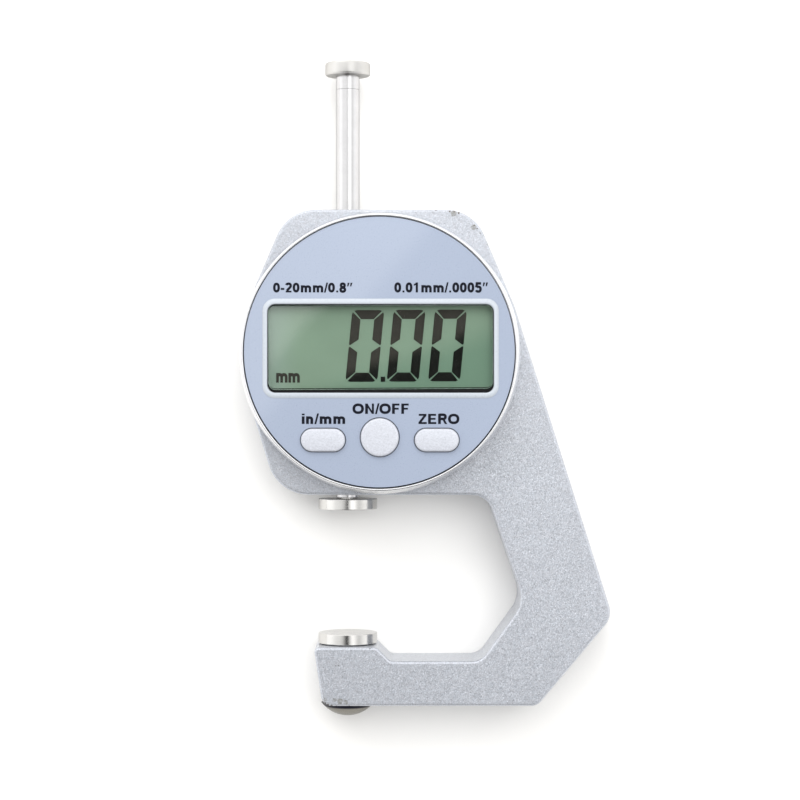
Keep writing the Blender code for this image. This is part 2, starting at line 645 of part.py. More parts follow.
def make_keypad(root):
    """A rubber mat with a dome under each button."""
    width, height = 2 * KEYPAD_HALF, KEYPAD_HIGH_Y - KEYPAD_LOW_Y
    middle = (KEYPAD_HIGH_Y + KEYPAD_LOW_Y) / 2
    mat = prism(rectangle((width, height), 1.5, 0, middle), KEYPAD_LOW, KEYPAD_HIGH)
    keypad = solid("keypad", mat, "black_rubber", root, (HEAD_X, HEAD_Y, 0))
    for x, y in ((-PILL_X, PILL_Y), (ROUND_X, ROUND_Y), (PILL_X, PILL_Y)):
        dome = ((0, KEYPAD_HIGH - 0.4), (1.8, KEYPAD_HIGH - 0.4), (1.2, DOME_HIGH), (0, DOME_HIGH))
        combine(keypad, "UNION", turned(dome, 16), root, (HEAD_X + x, HEAD_Y + y, 0))


def button_levels():
    """How far in each level of a button stands, and its height: the hidden lip, the shaft, the round edge."""
    lip_top = FACE_LOW - GAP
    levels = [(-BUTTON_LIP, BUTTON_LOW), (-BUTTON_LIP, lip_top), (0, lip_top)]
    for point in arc(0, 0, BUTTON_EDGE, 0, 90, 45):
        levels.append((BUTTON_EDGE - point.x, BUTTON_HIGH - BUTTON_EDGE + point.y))
    return levels


def make_buttons(root):
    for name, x in (("unit_button", -PILL_X), ("zero_button", PILL_X)):
        loops = [at_height(pill(PILL_LENGTH, PILL_WIDTH, -inset), z) for inset, z in button_levels()]
        solid(name, loft(loops), "button_silver", root, (HEAD_X + x, HEAD_Y + PILL_Y, 0))
    loops = [at_height(circle(ROUND_R - inset, steps=28), z) for inset, z in button_levels()]
    solid("power_button", loft(loops), "button_silver", root, (HEAD_X + ROUND_X, HEAD_Y + ROUND_Y, 0))


def make_battery(root):
    """The cell, its plastic cup, and its two contacts, which reach up to the board."""
    place = CELL_X, CELL_Y, 0
    edge, shoulder, cap_r = 0.2, CELL_HIGH - 0.4, 4.8
    cell = (
        (0, CELL_LOW),
        (CELL_R - edge, CELL_LOW),
        (CELL_R, CELL_LOW + edge),
        (CELL_R, shoulder - edge),
        (CELL_R - edge, shoulder),
        (cap_r, shoulder),
        (cap_r, CELL_HIGH),
        (0, CELL_HIGH),
    )
    solid("battery", turned(cell, 28), "cell_steel", root, place)
    inner, floor = CELL_R + GAP, HOLDER_HIGH - 0.8
    pin_hole = 0.9
    cup = (
        (inner, CELL_LOW),
        (HOLDER_R, CELL_LOW),
        (HOLDER_R, HOLDER_HIGH),
        (pin_hole, HOLDER_HIGH),
        (pin_hole, floor),
        (inner, floor),
    )
    holder = solid("battery_holder", turned(cup, 32), "grey_plastic", root, place)
    notch = box((-1.3, inner - 0.2, CELL_LOW - 1), (1.3, HOLDER_R - 0.5, HOLDER_HIGH + 1))
    combine(holder, "DIFFERENCE", notch, root, place)
    under = CELL_HIGH + GAP
    contact_top = BOARD_LOW - GAP
    rivet = (
        (0, under),
        (4.0, under),
        (4.0, under + 0.2),
        (0.5, under + 0.2),
        (0.5, contact_top),
        (0, contact_top),
    )
    solid("battery_negative_contact", turned(rivet, 16), "gold_plate", root, place)
    strip = box((-1.0, inner + 0.1, CELL_LOW + 0.4), (1.0, inner + 0.3, contact_top))
    solid("battery_positive_contact", strip, "gold_plate", root, place)


def make_rear_cover(root):
    """A round plate let into the frame's back, with a collar and a bayonet opening for the battery cap."""
    places = round_places(COVER_SCREW_CIRCLE, COVER_SCREW_ANGLES)
    plate = cylinder(COVER_R, COVER_LOW, COVER_HIGH, steps=64)
    cover = solid("rear_cover", plate, "grey_plastic", root, (HEAD_X, HEAD_Y, 0))
    centre = CELL_X, CELL_Y, 0
    collar = cylinder(COLLAR_R, COVER_LOW + 0.5, COLLAR_HIGH, steps=36)
    combine(cover, "UNION", collar, root, centre)
    opening = SPIGOT_R + GAP
    combine(cover, "DIFFERENCE", cylinder(opening, COVER_LOW - 1, COLLAR_HIGH + 1, steps=36), root, centre)
    seat = cylinder(CAP_R + GAP, COVER_LOW - 1, CAP_SEAT_Z, steps=36)
    combine(cover, "DIFFERENCE", seat, root, centre)
    notch_half = LUG_WIDTH / 2 + GAP
    reach = LUG_R + GAP
    notch = box((-reach, -notch_half, CAP_SEAT_Z - 0.5), (reach, notch_half, COLLAR_HIGH + 1))
    combine(cover, "DIFFERENCE", notch, root, centre, (0, 0, -CAP_TURN))
    for x, y in places:
        hole = countersink(COVER_SCREW_R, COVER_SCREW_HEAD, 2.0)
        combine(cover, "DIFFERENCE", hole, root, (x, y, COVER_LOW), (math.pi, 0, 0))
    head_z = COVER_LOW + 0.05
    for i, (x, y) in enumerate(places):
        size = COVER_SCREW_R, COVER_SCREW_HEAD, COVER_SCREW_END - head_z
        countersunk_screw(f"cover_screw_{i + 1}", *size, root, (x, y, head_z), (math.pi, 0, 0))


def make_battery_cap(root):
    """A coin-slot cap with two lugs that turn in behind the rear cover's collar."""
    centre = CELL_X, CELL_Y, 0
    edge = 0.1
    profile = (
        (0, COVER_LOW),
        (CAP_R - edge, COVER_LOW),
        (CAP_R, COVER_LOW + edge),
        (CAP_R, CAP_SHELF),
        (SPIGOT_R, CAP_SHELF),
        (SPIGOT_R, CAP_HIGH),
        (0, CAP_HIGH),
    )
    cap = solid("battery_cap", turned(profile, 36), "grey_plastic", root, centre)
    half = LUG_WIDTH / 2
    lugs = box((-LUG_R, -half, LUG_LOW), (LUG_R, half, CAP_HIGH - 0.05))
    combine(cap, "UNION", lugs, root, centre)
    slot = box((-4.8, -0.9, COVER_LOW - 1), (4.8, 0.9, COVER_LOW + 1.0))
    combine(cap, "DIFFERENCE", slot, root, centre)
    low, high, inner, outer = CAP_SHELF + 0.2, CAP_SEAT_Z - 0.2, SPIGOT_R + 0.4, CAP_R - 0.1
    seal = ((inner, low), (outer, low), (outer, high), (inner, high))
    solid("battery_cap_seal", turned(seal, 28), "black_rubber", root, centre)


def gauge_root():
    """The empty that every piece hangs on. It lays the gauge's back on Z = 0, over its box's middle."""
    right = max(point.x for point in rounded(FRAME_CORNERS))
    left = HEAD_X - CASE_BASE_R
    middle_x, middle_y = (left + right) / 2, (NUT_END + KNOB_HIGH) / 2
    return empty("gauge", (-middle_x, -middle_y, FRAME_HALF))


def main():
    clear_scene()
    root = gauge_root()
    spindle_axis = empty("spindle_axis", parent=root)
    make_frame(root)
    make_anvil(root)
    make_anvil_nut(root)
    make_spindle(spindle_axis)
    make_spindle_contact(spindle_axis)
    make_lifting_knob(spindle_axis)
    make_bushes(root)
    make_carrier(spindle_axis)
    make_guide_rod(root)
    make_head_case(root)
    make_case_screws(root)
    make_face_plate(root)
    make_window(root)
    make_display(root)
    make_board(root)
    make_board_screws(root)
    make_keypad(root)
    make_buttons(root)
    make_battery(root)
    make_rear_cover(root)
    make_battery_cap(root)


main()
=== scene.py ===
"""Looks of a digital thickness gauge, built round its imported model.

Shapes are drawn in millimetres in the gauge's own frame: its origin is the centre of the anvil's measuring
face, X runs into the throat, Y along the spindle towards the lifting knob and Z towards the dial.
"""

import math

import bmesh
import bpy
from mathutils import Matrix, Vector
from mathutils.geometry import delaunay_2d_cdt


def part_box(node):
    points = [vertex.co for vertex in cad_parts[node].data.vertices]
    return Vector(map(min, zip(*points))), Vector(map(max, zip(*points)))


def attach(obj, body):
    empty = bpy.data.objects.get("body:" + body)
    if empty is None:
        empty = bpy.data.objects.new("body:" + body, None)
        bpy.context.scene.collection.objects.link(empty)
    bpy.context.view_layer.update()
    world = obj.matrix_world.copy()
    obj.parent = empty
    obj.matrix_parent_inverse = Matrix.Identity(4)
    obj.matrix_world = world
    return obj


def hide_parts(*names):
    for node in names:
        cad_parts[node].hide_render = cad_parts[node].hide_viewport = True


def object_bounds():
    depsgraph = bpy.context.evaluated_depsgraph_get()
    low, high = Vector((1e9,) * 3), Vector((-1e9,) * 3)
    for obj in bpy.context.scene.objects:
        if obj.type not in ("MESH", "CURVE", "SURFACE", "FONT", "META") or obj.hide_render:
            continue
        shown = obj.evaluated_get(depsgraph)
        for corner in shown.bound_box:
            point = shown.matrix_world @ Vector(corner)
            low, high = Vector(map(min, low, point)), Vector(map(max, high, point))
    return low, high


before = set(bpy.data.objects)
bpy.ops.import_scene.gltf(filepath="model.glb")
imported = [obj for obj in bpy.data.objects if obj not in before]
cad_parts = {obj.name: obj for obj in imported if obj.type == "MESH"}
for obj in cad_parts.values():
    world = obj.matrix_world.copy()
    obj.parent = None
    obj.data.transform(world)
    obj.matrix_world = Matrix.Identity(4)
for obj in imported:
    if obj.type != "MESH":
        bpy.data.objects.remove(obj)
cad_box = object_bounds()

MM = 0.001
FLAT = (0.0, 0.0, 0.0)
ALONG_Y = (math.radians(-90), 0.0, 0.0)  # turns a piece's own Z axis to the gauge's Y axis
FACING_BACK = (math.pi, 0.0, 0.0)

anvil_low, anvil_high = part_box("anvil")
ORIGIN = Vector(((anvil_low.x + anvil_high.x) / 2, anvil_high.y, (anvil_low.z + anvil_high.z) / 2))

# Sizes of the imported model
GAP, SEAM, FACE_GAP = 0.3, 0.15, 0.2
FRAME_HALF, FRAME_EDGE = 6.25, 0.45
HEAD_TOP, HEAD_BOTTOM = 71.4, 23.6
FOOT_BOTTOM, ARM_TOP, BOSS_TOP = -11.74, -4.24, -1.9
FRAME_CORNERS = (
    (-9.89, HEAD_TOP, 7.0),
    (21.2, HEAD_TOP, 7.0),
    (28.07, 55.25, 20.0),
    (44.5, 3.25, 3.5),
    (31.87, FOOT_BOTTOM, 2.0),
    (-4.12, FOOT_BOTTOM, 1.9),
    (-5.58, BOSS_TOP, 0.8),
    (4.95, BOSS_TOP, 1.2),
    (7.29, ARM_TOP, 1.2),
    (22.4, ARM_TOP, 3.0),
    (29.66, 5.76, 5.0),
    (23.5, HEAD_BOTTOM, 3.7),
    (-11.6, HEAD_BOTTOM, 7.2),
    (-19.4, 49.1, 23.5),
)
SPINDLE_R, RUNNING = 2.0, 0.08
CONTACT_R, CONTACT_LOW, CONTACT_HIGH = 5.0, 20.97, 22.78
KNOB_R, KNOB_LOW, KNOB_HIGH = 3.85, 94.6, 96.8
SPINDLE_LOW, SPINDLE_HIGH = CONTACT_HIGH + SEAM, 92.1
SHANK_R, SHANK_LENGTH = 1.2, 3.6
ANVIL_R, ANVIL_THICK = 5.0, 1.75
ANVIL_SHANK_R, ANVIL_THREAD_R, ANVIL_THREAD_END = 2.5, 1.5, -13.0
NUT_R, NUT_END = 4.5, -14.1
BUSH_R = 3.4
HEAD_X, HEAD_Y = 5.5, 47.3
HEAD = (HEAD_X, HEAD_Y, 0.0)
CAVITY_R = 17.5
SLOT_LEFT, SLOT_RIGHT = -7.0, 6.0
SLOT_LOW, SLOT_HIGH = HEAD_Y - 16.3, HEAD_Y + 16.3
GUIDE_X, GUIDE_Z, GUIDE_R, GUIDE_DEPTH = -4.6, -2.7, 0.9, 2.0
CASE_LOW, CASE_HIGH = FRAME_HALF + 0.25, 14.25
CASE_BASE_R, CASE_RIM_R = 23.5, 22.7
FLANGE_HIGH, FLANGE_R = 7.7, 16.9
CASE_INNER_R, LEDGE_Z = 21.9, 12.5
FACE_R, FACE_RISE, FACE_LOW, FACE_HIGH = 22.18, 0.06, 12.8, 14.0
WINDOW_X, WINDOW_Y = 0.2, 0.65
BEZEL_SIZE, BEZEL_CORNER = (38.7, 16.3), 2.0
INSERT_SIZE, INSERT_CORNER = (37.9, 15.5), 1.6
WINDOW_SIZE, WINDOW_CORNER = (37.1, 14.5), 1.3
BEZEL_LOW, BEZEL_SHELF, BEZEL_HIGH = 12.9, FACE_HIGH + 0.02, 14.25
LENS_SIZE, LENS_RISE = (36.8, 13.76), 0.2
LENS_LOW, LENS_HIGH = 12.9, 13.8
GASKET_OPENING, GASKET_RISE, GASKET_LOW, GASKET_HIGH = (36.8, 13.42), LENS_RISE + 0.07, 12.25, 12.6
DISPLAY_SIZE, DISPLAY_HIGH = (37.5, 15.2), 11.95
PILL_LENGTH, PILL_WIDTH, PILL_LEFT, PILL_RIGHT, PILL_Y = 7.25, 3.74, -9.22, 9.4, -14.35
ROUND_R, ROUND_X, ROUND_Y, BUTTON_GAP = 3.13, 0.07, -13.9, 0.13
BUTTON_LOW, BUTTON_HIGH, BUTTON_LIP, BUTTON_EDGE = 11.7, 14.9, 0.6, 0.35
CELL_X, CELL_Y = 14.2, HEAD_Y
CELL = (CELL_X, CELL_Y, 0.0)
COVER_R, COVER_LOW, COVER_HIGH = 21.5, -6.15, -4.75
COLLAR_R, COLLAR_HIGH = 8.2, -3.9
CAP_R, CAP_SHELF, CAP_HIGH = 7.4, -5.65, -3.1
SPIGOT_R, CAP_SEAT_Z = 6.2, -4.9
LUG_R, LUG_LOW, LUG_WIDTH = 7.1, -3.6, 2.6
CASE_SCREW_CIRCLE, CASE_SCREW_ANGLES, CASE_SCREW_R, CASE_SCREW_HEAD = 20.0, (90, 210, 330), 1.0, 1.9
BOARD_SCREW_CIRCLE, BOARD_SCREW_ANGLES, BOARD_SCREW_R = 19.6, (40, 140, 270), 0.8
COVER_SCREW_CIRCLE, COVER_SCREW_ANGLES = 19.4, (30, 150, 210, 330)
COVER_SCREW_R, COVER_SCREW_HEAD, COVER_SCREW_END = 0.8, 1.6, -2.0


# Outlines


def arc(x, y, radius, start, end, most_step=5.0):
    """Points on an arc, from the start angle to the end angle, in degrees."""
    steps = max(1, math.ceil(abs(end - start) / most_step - 1e-6))
    angles = [math.radians(start + (end - start) * i / steps) for i in range(steps + 1)]
    return [Vector((x + radius * math.cos(a), y + radius * math.sin(a))) for a in angles]


def circle(radius, x=0.0, y=0.0, steps=96):
    return arc(x, y, radius, 0, 360, 360 / steps)[:-1]


def rectangle(size, corner, x=0.0, y=0.0, most_step=7.5):
    """A rectangle with rounded corners, anticlockwise from its right side's upper end."""
    across, up = size[0] / 2 - corner, size[1] / 2 - corner
    centres = ((across, up, 0), (-across, up, 90), (-across, -up, 180), (across, -up, 270))
    points = []
    for dx, dy, start in centres:
        points += arc(x + dx, y + dy, corner, start, start + 90, most_step)
    return points


def pill(length, width, grow=0.0, x=0.0, y=0.0):
    return rectangle((length + 2 * grow, width + 2 * grow), width / 2 + grow - 1e-4, x, y, 5)


def rounded(corners, inset=0.0):
    """Points of a polygon given by its corners (x, y, radius), each side moved in by inset."""
    count = len(corners)
    ends = [Vector(corner[:2]) for corner in corners]
    area = sum(ends[i - 1].cross(ends[i]) for i in range(count))
    side = 1 if area > 0 else -1
    along = [(ends[(i + 1) % count] - ends[i]).normalized() for i in range(count)]
    inward = [Vector((-way.y, way.x)) * side for way in along]
    points = []
    for i, (*_, radius) in enumerate(corners):
        before, after = along[i - 1], along[i]
        turning = math.atan2(before.cross(after), before.dot(after))
        convex = turning * side > 0
        bend = radius - inset if convex else radius + inset
        normal = inward[i - 1] + inward[i]
        corner = ends[i] + normal * (inset / (1 + inward[i - 1].dot(inward[i])))
        towards = inward[i] if convex else -inward[i]
        tangent = bend * math.tan(abs(turning) / 2)
        centre = corner + after * tangent + towards * bend
        first = centre - (inward[i - 1] if convex else -inward[i - 1]) * bend
        start = math.degrees(math.atan2((first - centre).y, (first - centre).x))
        points += arc(centre.x, centre.y, bend, start, start + math.degrees(turning), 3)
    return points


# Solids


def at_height(points, z):
    return [Vector((p[0], p[1], z)) for p in points]


def skin(bm, rows):
    """Joins each row of points to the next, all the way round."""
    for lower, upper in zip(rows, rows[1:]):
        for i in range(len(lower)):
            bm.faces.new((lower[i - 1], lower[i], upper[i], upper[i - 1]))


def loft(loops, ring=False, bm=None):
    """Skins matching loops of points. The ends are capped, or joined to each other for a ring."""
    if bm is None:
        bm = bmesh.new()
    rows = [[bm.verts.new(p) for p in loop] for loop in loops]
    if ring:
        rows.append(rows[0])
    else:
        bm.faces.new(rows[0])
        bm.faces.new(rows[-1])
    skin(bm, rows)
    return bm


def turned(profile, steps=96):
    """A solid of revolution from points (radius, height), from axis to axis or round a ring."""
    bm = bmesh.new()
    rows = []
    for radius, height in profile:
        if radius == 0:
            rows.append([bm.verts.new((0, 0, height))])
        else:
            rows.append([bm.verts.new(p) for p in at_height(circle(radius, steps=steps), height)])
    if len(rows[0]) > 1:
        rows.append(rows[0])
    for lower, upper in zip(rows, rows[1:]):
        for i in range(steps):
            corners = [lower[i - 1], lower[i]] if len(lower) > 1 else [lower[0]]
            corners += [upper[i], upper[i - 1]] if len(upper) > 1 else [upper[0]]
            bm.faces.new(corners)
    return bm


def prism(outer, low, high, holes=()):
    bm = bmesh.new()
    for points in (outer, *holes):
        verts = [bm.verts.new((p[0], p[1], low)) for p in points]
        for i in range(len(verts)):
            bm.edges.new((verts[i - 1], verts[i]))
    bmesh.ops.triangle_fill(bm, use_beauty=True, edges=bm.edges)
    raised = bmesh.ops.extrude_face_region(bm, geom=bm.faces)["geom"]
    top = [item for item in raised if isinstance(item, bmesh.types.BMVert)]
    bmesh.ops.translate(bm, vec=(0, 0, high - low), verts=top)
    return bm


def cylinder(radius, low, high, x=0.0, y=0.0, steps=64):
    return prism(circle(radius, x, y, steps), low, high)


def block(low, high):
    outline = ((low[0], low[1]), (high[0], low[1]), (high[0], high[1]), (low[0], high[1]))
    return prism(outline, low[2], high[2])


def edge_arc(radius, x, y, start, end, steps=4):
    """Points of a rounded edge in a turned profile."""
    return [tuple(p) for p in arc(x, y, radius, start, end, abs(end - start) / steps)]


def round_places(radius, angles):
    return [
        (HEAD_X + radius * math.cos(math.radians(a)), HEAD_Y + radius * math.sin(math.radians(a)))
        for a in angles
    ]


def add_object(name, data):
    made = bpy.data.objects.new(name, data)
    bpy.context.scene.collection.objects.link(made)
    return made


def mesh_object(name, bm, place=FLAT, turn=FLAT):
    """Makes bm, drawn in millimetres, into an object that stands at place in the gauge's frame."""
    bmesh.ops.recalc_face_normals(bm, faces=bm.faces)
    bmesh.ops.scale(bm, vec=(MM, MM, MM), verts=bm.verts)
    mesh = bpy.data.meshes.new(name)
    bm.to_mesh(mesh)
    bm.free()
    made = add_object(name, mesh)
    made.location = ORIGIN + Vector(place) * MM
    made.rotation_euler = turn
    return made


def cut(target, tools):
    """Applies Booleans to target. Each tool is (operation, bm, place, turn)."""
    made = []
    for operation, bm, place, turn in tools:
        tool = mesh_object(f"{target.name}_tool", bm, place, turn)
        modifier = target.modifiers.new("tool", "BOOLEAN")
        modifier.operation, modifier.object, modifier.solver = operation, tool, "EXACT"
        made.append(tool)
    bake_modifiers(target)
    for tool in made:
        bpy.data.objects.remove(tool)


def bake_modifiers(target):
    bpy.context.view_layer.update()
    evaluated = target.evaluated_get(bpy.context.evaluated_depsgraph_get())
    mesh = bpy.data.meshes.new_from_object(evaluated)
    target.modifiers.clear()
    target.data = mesh


def piece(made, body, slot, shader, *nodes, angle=32):
    """Finishes a visible piece: its shading, material and body, and the nodes it replaces. slot is not used.

    Edges sharper than angle stay sharp, and flat faces stay flat beside rounded ones.
    """
    made.data.shade_smooth()
    made.data.set_sharp_from_angle(angle=math.radians(angle))
    modifier = made.modifiers.new("normals", "WEIGHTED_NORMAL")
    modifier.keep_sharp = True
    bake_modifiers(made)
    made.data.materials.clear()
    made.data.materials.append(shader)
    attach(made, body)
    if nodes:
        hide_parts(*nodes)


def turned_piece(name, profile, body, slot, metal, *nodes, steps=96, angle=32):
    """A finished piece, turned about the spindle's line."""
    piece(mesh_object(name, turned(profile, steps), turn=ALONG_Y), body, slot, metal, *nodes, angle=angle)


def screw_sink(radius, head, end, steps):
    """A cutter for a countersunk screw hole, pointing down from the face that the head lies in."""
    outer, inner, depth = head + GAP, radius + GAP, head - radius
    return turned(((0, 1.0), (outer, 1.0), (outer, -0.1), (inner, -depth - 0.1), (inner, end), (0, end)), steps)


# Shader building


class Graph:
    """A node tree, and short calls that add nodes to it and return their sockets."""

    def __init__(self, tree):
        self.tree = tree

    def put(self, socket, value):
        if isinstance(value, bpy.types.NodeSocket):
            self.tree.links.new(value, socket)
        elif isinstance(value, tuple) and len(value) == 3 and socket.type == "RGBA":
            socket.default_value = (*value, 1)
        else:
            socket.default_value = value

    def node(self, kind, output=0, settings=None, **inputs):
        """An input's name has _ for each space, or is i and a number."""
        made = self.tree.nodes.new(f"ShaderNode{kind}")
        for key, value in (settings or {}).items():
            setattr(made, key, value)
        for key, value in inputs.items():
            label = int(key[1:]) if key[0] == "i" and key[1:].isdigit() else key.replace("_", " ")
            self.put(made.inputs[label], value)
        return made.outputs[output]

    def maths(self, operation, a, b=0.0, c=0.0):
        return self.node("Math", 0, {"operation": operation}, i0=a, i1=b, i2=c)

    def total(self, first, *others):
        for other in others:
            first = self.maths("ADD", first, other)
        return first

    def vector(self, operation, a, b=(0.0, 0.0, 0.0), output=0):
        return self.node("VectorMath", output, {"operation": operation}, i0=a, i1=b)

    def part(self, vector, axis):
        return self.node("SeparateXYZ", axis, None, Vector=vector)

    def fit(self, value, low, high, to_low=0.0, to_high=1.0, smoothly=False):
        settings = {"interpolation_type": "SMOOTHSTEP"} if smoothly else {}
        ends = {"From_Min": low, "From_Max": high, "To_Min": to_low, "To_Max": to_high}
        return self.node("MapRange", 0, settings, i0=value, **ends)

    def vary(self, noise, low, high):
        """Spreads a noise's usual values from low to high."""
        return self.fit(noise, 0.3, 0.7, low, high)

    def mix(self, factor, a, b, blend="MIX"):
        made = self.tree.nodes.new("ShaderNodeMix")
        made.data_type, made.blend_type = "RGBA", blend
        for socket, value in zip((made.inputs[0], made.inputs[6], made.inputs[7]), (factor, a, b)):
            self.put(socket, value)
        return made.outputs[2]


class Shader(Graph):
    """A material with one Principled shader. Its textures use the piece's own coordinates, in metres."""

    def __init__(self, name, colour, roughness, metallic=0.0, **constants):
        self.material = bpy.data.materials.new(name)
        self.material.use_nodes = True
        super().__init__(self.material.node_tree)
        self.surface = self.tree.nodes["Principled BSDF"]
        self.set("Base Color", colour)
        self.set("Roughness", roughness)
        self.set("Metallic", metallic)
        for label, value in constants.items():
            self.set(label.replace("_", " "), value)
        self.coords = self.tree.nodes.new("ShaderNodeTexCoord").outputs["Object"]

    def set(self, label, value):
        self.put(self.surface.inputs[label], value)

    def tint(self, base, value):
        self.set("Base Color", self.mix(1.0, base, value, "MULTIPLY"))

    def roughen(self, noise, low, high):
        self.set("Roughness", self.vary(noise, low, high))

    def bump(self, height, distance, strength=1.0, **under):
        inputs = {"Height": height, "Distance": distance, "Strength": strength, **under}
        self.set("Normal", self.node("Bump", 0, None, **inputs))

    def noise(self, scale, detail=2.0, roughness=0.5, vector=None):
        inputs = {"Vector": vector or self.coords, "Scale": scale, "Detail": detail, "Roughness": roughness}
        return self.node("TexNoise", 0, {"noise_dimensions": "3D"}, **inputs)

    def cells(self, scale, output="Color", feature="F1"):
        return self.node("TexVoronoi", output, {"feature": feature}, Vector=self.coords, Scale=scale)

    def radius(self):
        """Distance from the piece's own Z axis."""
        flat = self.vector("MULTIPLY", self.coords, (1.0, 1.0, 0.0))
        return self.vector("LENGTH", flat, output="Value")

    def grooves(self, pitch, detail=3.0):
        """Turning marks round the piece's own Z axis, about that many metres apart, from 0 to 1."""
        along = self.node("CombineXYZ", 0, None, X=self.radius(), Y=self.part(self.coords, 2))
        return self.noise(1 / pitch, detail, 0.6, along)

    def spot(self, x, y, z, size):
        """1 inside a ragged blot of about that radius at a point of the piece, in millimetres."""
        away = self.vector("DISTANCE", self.coords, tuple(Vector((x, y, z)) * MM), output="Value")
        edge = self.noise(0.9 / (size * MM), 4.0, 0.6)
        return self.maths("LESS_THAN", away, self.maths("MULTIPLY_ADD", edge, size * MM, size * MM / 2))


def silver_paint(name, base, wear):
    """Fine metal-flake paint on a casting, with chips and stains where wear says."""
    s = Shader(name, base, 0.4, 0.62, Coat_Weight=0.15, Coat_Roughness=0.25)
    cells = s.cells(7400.0)
    flake, chance = s.part(cells, 0), s.part(cells, 1)
    value = s.total(
        s.vary(s.noise(6200.0, 2.0, 0.6), -0.15, 0.15),
        s.fit(flake, 0, 1, -0.12, 0.12),
        s.vary(s.noise(70.0, 3.0), 0.98, 1.02),
        s.fit(chance, 0.955, 0.97, 0.0, 0.18),  # a few bright flakes
        s.fit(chance, 0.03, 0.045, -0.16, 0.0),  # and a few dark pits
    )
    colour = s.mix(1.0, base, value, "MULTIPLY")
    hue = s.fit(s.noise(2200.0, 2.0), 0.35, 0.65, 0.0, 0.3)
    colour = s.mix(hue, colour, s.mix(1.0, (0.93, 1.0, 1.04), colour, "MULTIPLY"))
    for colour_of, spots in wear:
        mask = s.spot(*spots[0])
        for spot in spots[1:]:
            mask = s.maths("MAXIMUM", mask, s.spot(*spot))
        speckle = s.fit(s.noise(3600.0, 2.0), 0.4, 0.55, 0.35, 0.95)
        colour = s.mix(s.maths("MULTIPLY", mask, speckle), colour, colour_of)
    s.set("Base Color", colour)
    s.roughen(s.noise(1800.0, 2.0), 0.3, 0.42)
    tilt = s.vector("MULTIPLY", s.vector("SUBTRACT", cells, (0.5, 0.5, 0.5)), (0.12, 0.12, 0.12))
    leaning = s.vector("NORMALIZE", s.vector("ADD", s.node("NewGeometry", "Normal"), tilt))
    pebbles = s.maths("ADD", s.noise(6400.0, 2.0), s.maths("MULTIPLY", s.noise(2200.0, 2.0), 0.5))
    s.bump(pebbles, 0.000016, 0.3, Normal=leaning)
    return s.material


def steel(name, base=(0.69, 0.68, 0.66), rough=(0.12, 0.2), pitch=0.00012, seam_shade=None, rim=0.8):
    """Turned and polished steel, with fine marks round its axis, faint smears and perhaps a painted shade that
    darkens one end.

    rim is how bright it looks at its edges, and seam_shade the heights between which it turns dark, a painted
    shade for the seam where it meets another part.
    """
    s = Shader(name, base, 0.2, 1.0, Specular_Tint=(rim, rim, rim))
    marks, smear, fine = s.grooves(pitch), s.noise(260.0, 4.0, 0.6), s.noise(2400.0, 2.0)
    s.set("Roughness", s.maths("ADD", s.vary(marks, *rough), s.fit(smear, 0.45, 0.75, 0.0, 0.08)))
    colour = s.mix(s.fit(smear, 0.35, 0.75, 0.0, 0.6), base, tuple(c * 0.86 for c in base))
    if seam_shade:
        # painted shade: towards one end the colour goes almost black, for the shadowed seam against the next part
        colour = s.mix(s.fit(s.part(s.coords, 2), *seam_shade), colour, (0.012, 0.012, 0.02))
    s.set("Base Color", colour)
    s.bump(s.maths("ADD", marks, s.maths("MULTIPLY", fine, 0.15)), 0.0000012, 0.8)
    return s.material


def ring_metal():
    """The head case: satin turned aluminium with even striations, and painted shade inside its lip, near black at
    the lower side and grey at the top.
    """
    base = (0.90, 0.90, 0.91)
    s = Shader("ring_metal", base, 0.28, 1.0)
    coarse, fine = s.grooves(0.00035, 2.0), s.grooves(0.00009, 3.0)
    marks = s.maths("MULTIPLY_ADD", coarse, 0.6, s.maths("MULTIPLY", fine, 0.6))
    s.set("Roughness", s.fit(marks, 0.4, 0.8, 0.22, 0.36))
    colour = s.mix(s.fit(marks, 0.4, 0.8, 0.0, 0.5), base, (0.70, 0.71, 0.73))
    # painted shade: inside the lip, on its inner wall and the ledge below, the colour runs from near black at the
    # lower side to grey at the top
    inside = s.maths("LESS_THAN", s.radius(), (CASE_RIM_R - 0.355) * MM)
    shade = s.mix(s.fit(s.part(s.coords, 1), -0.004, 0.010), (0.015, 0.017, 0.02), (0.62, 0.64, 0.68))
    s.set("Base Color", s.mix(inside, colour, shade))
    s.bump(marks, 0.000004, 0.7)
    return s.material


def plate_print():
    """Blue-grey printed metal plate under a clear satin coat."""
    base = (0.281, 0.324, 0.413)
    s = Shader("plate_print", base, 0.4, 0.0, Coat_Weight=1.0, Coat_Roughness=0.03)
    cloud, grain = s.noise(45.0, 2.0), s.noise(5200.0, 2.0, 0.7)
    s.tint(base, s.maths("ADD", s.vary(cloud, 0.985, 1.015), s.vary(grain, -0.02, 0.02)))
    s.roughen(grain, 0.26, 0.36)
    s.bump(grain, 0.000002, 0.4)
    return s.material


def moulded(name, base, rough=0.4, grain=2200.0, depth=0.000006, spread=0.05, **constants):
    """Moulded or painted plastic with a fine grain."""
    s = Shader(name, base, rough, 0.0, **constants)
    fine, cloud = s.noise(grain, 3.0, 0.6), s.noise(grain / 30, 2.0)
    s.tint(base, s.maths("ADD", s.vary(fine, 1 - spread, 1 + spread), s.vary(cloud, -0.02, 0.02)))
    s.roughen(fine, rough - 0.06, rough + 0.08)
    s.bump(fine, depth, 0.6)
    return s.material


def button_paint():
    """Pearly silver-white button paint."""
    base = (0.50, 0.515, 0.56)
    s = Shader("button_paint", base, 0.4, 0.2, Coat_Weight=0.2, Coat_Roughness=0.2)
    flake, grain = s.part(s.cells(6600.0), 0), s.noise(4600.0, 3.0, 0.6)
    s.tint(base, s.maths("ADD", s.vary(grain, 0.91, 1.09), s.fit(flake, 0, 1, -0.07, 0.07)))
    s.roughen(grain, 0.34, 0.46)
    s.bump(grain, 0.00001, 0.5)
    return s.material


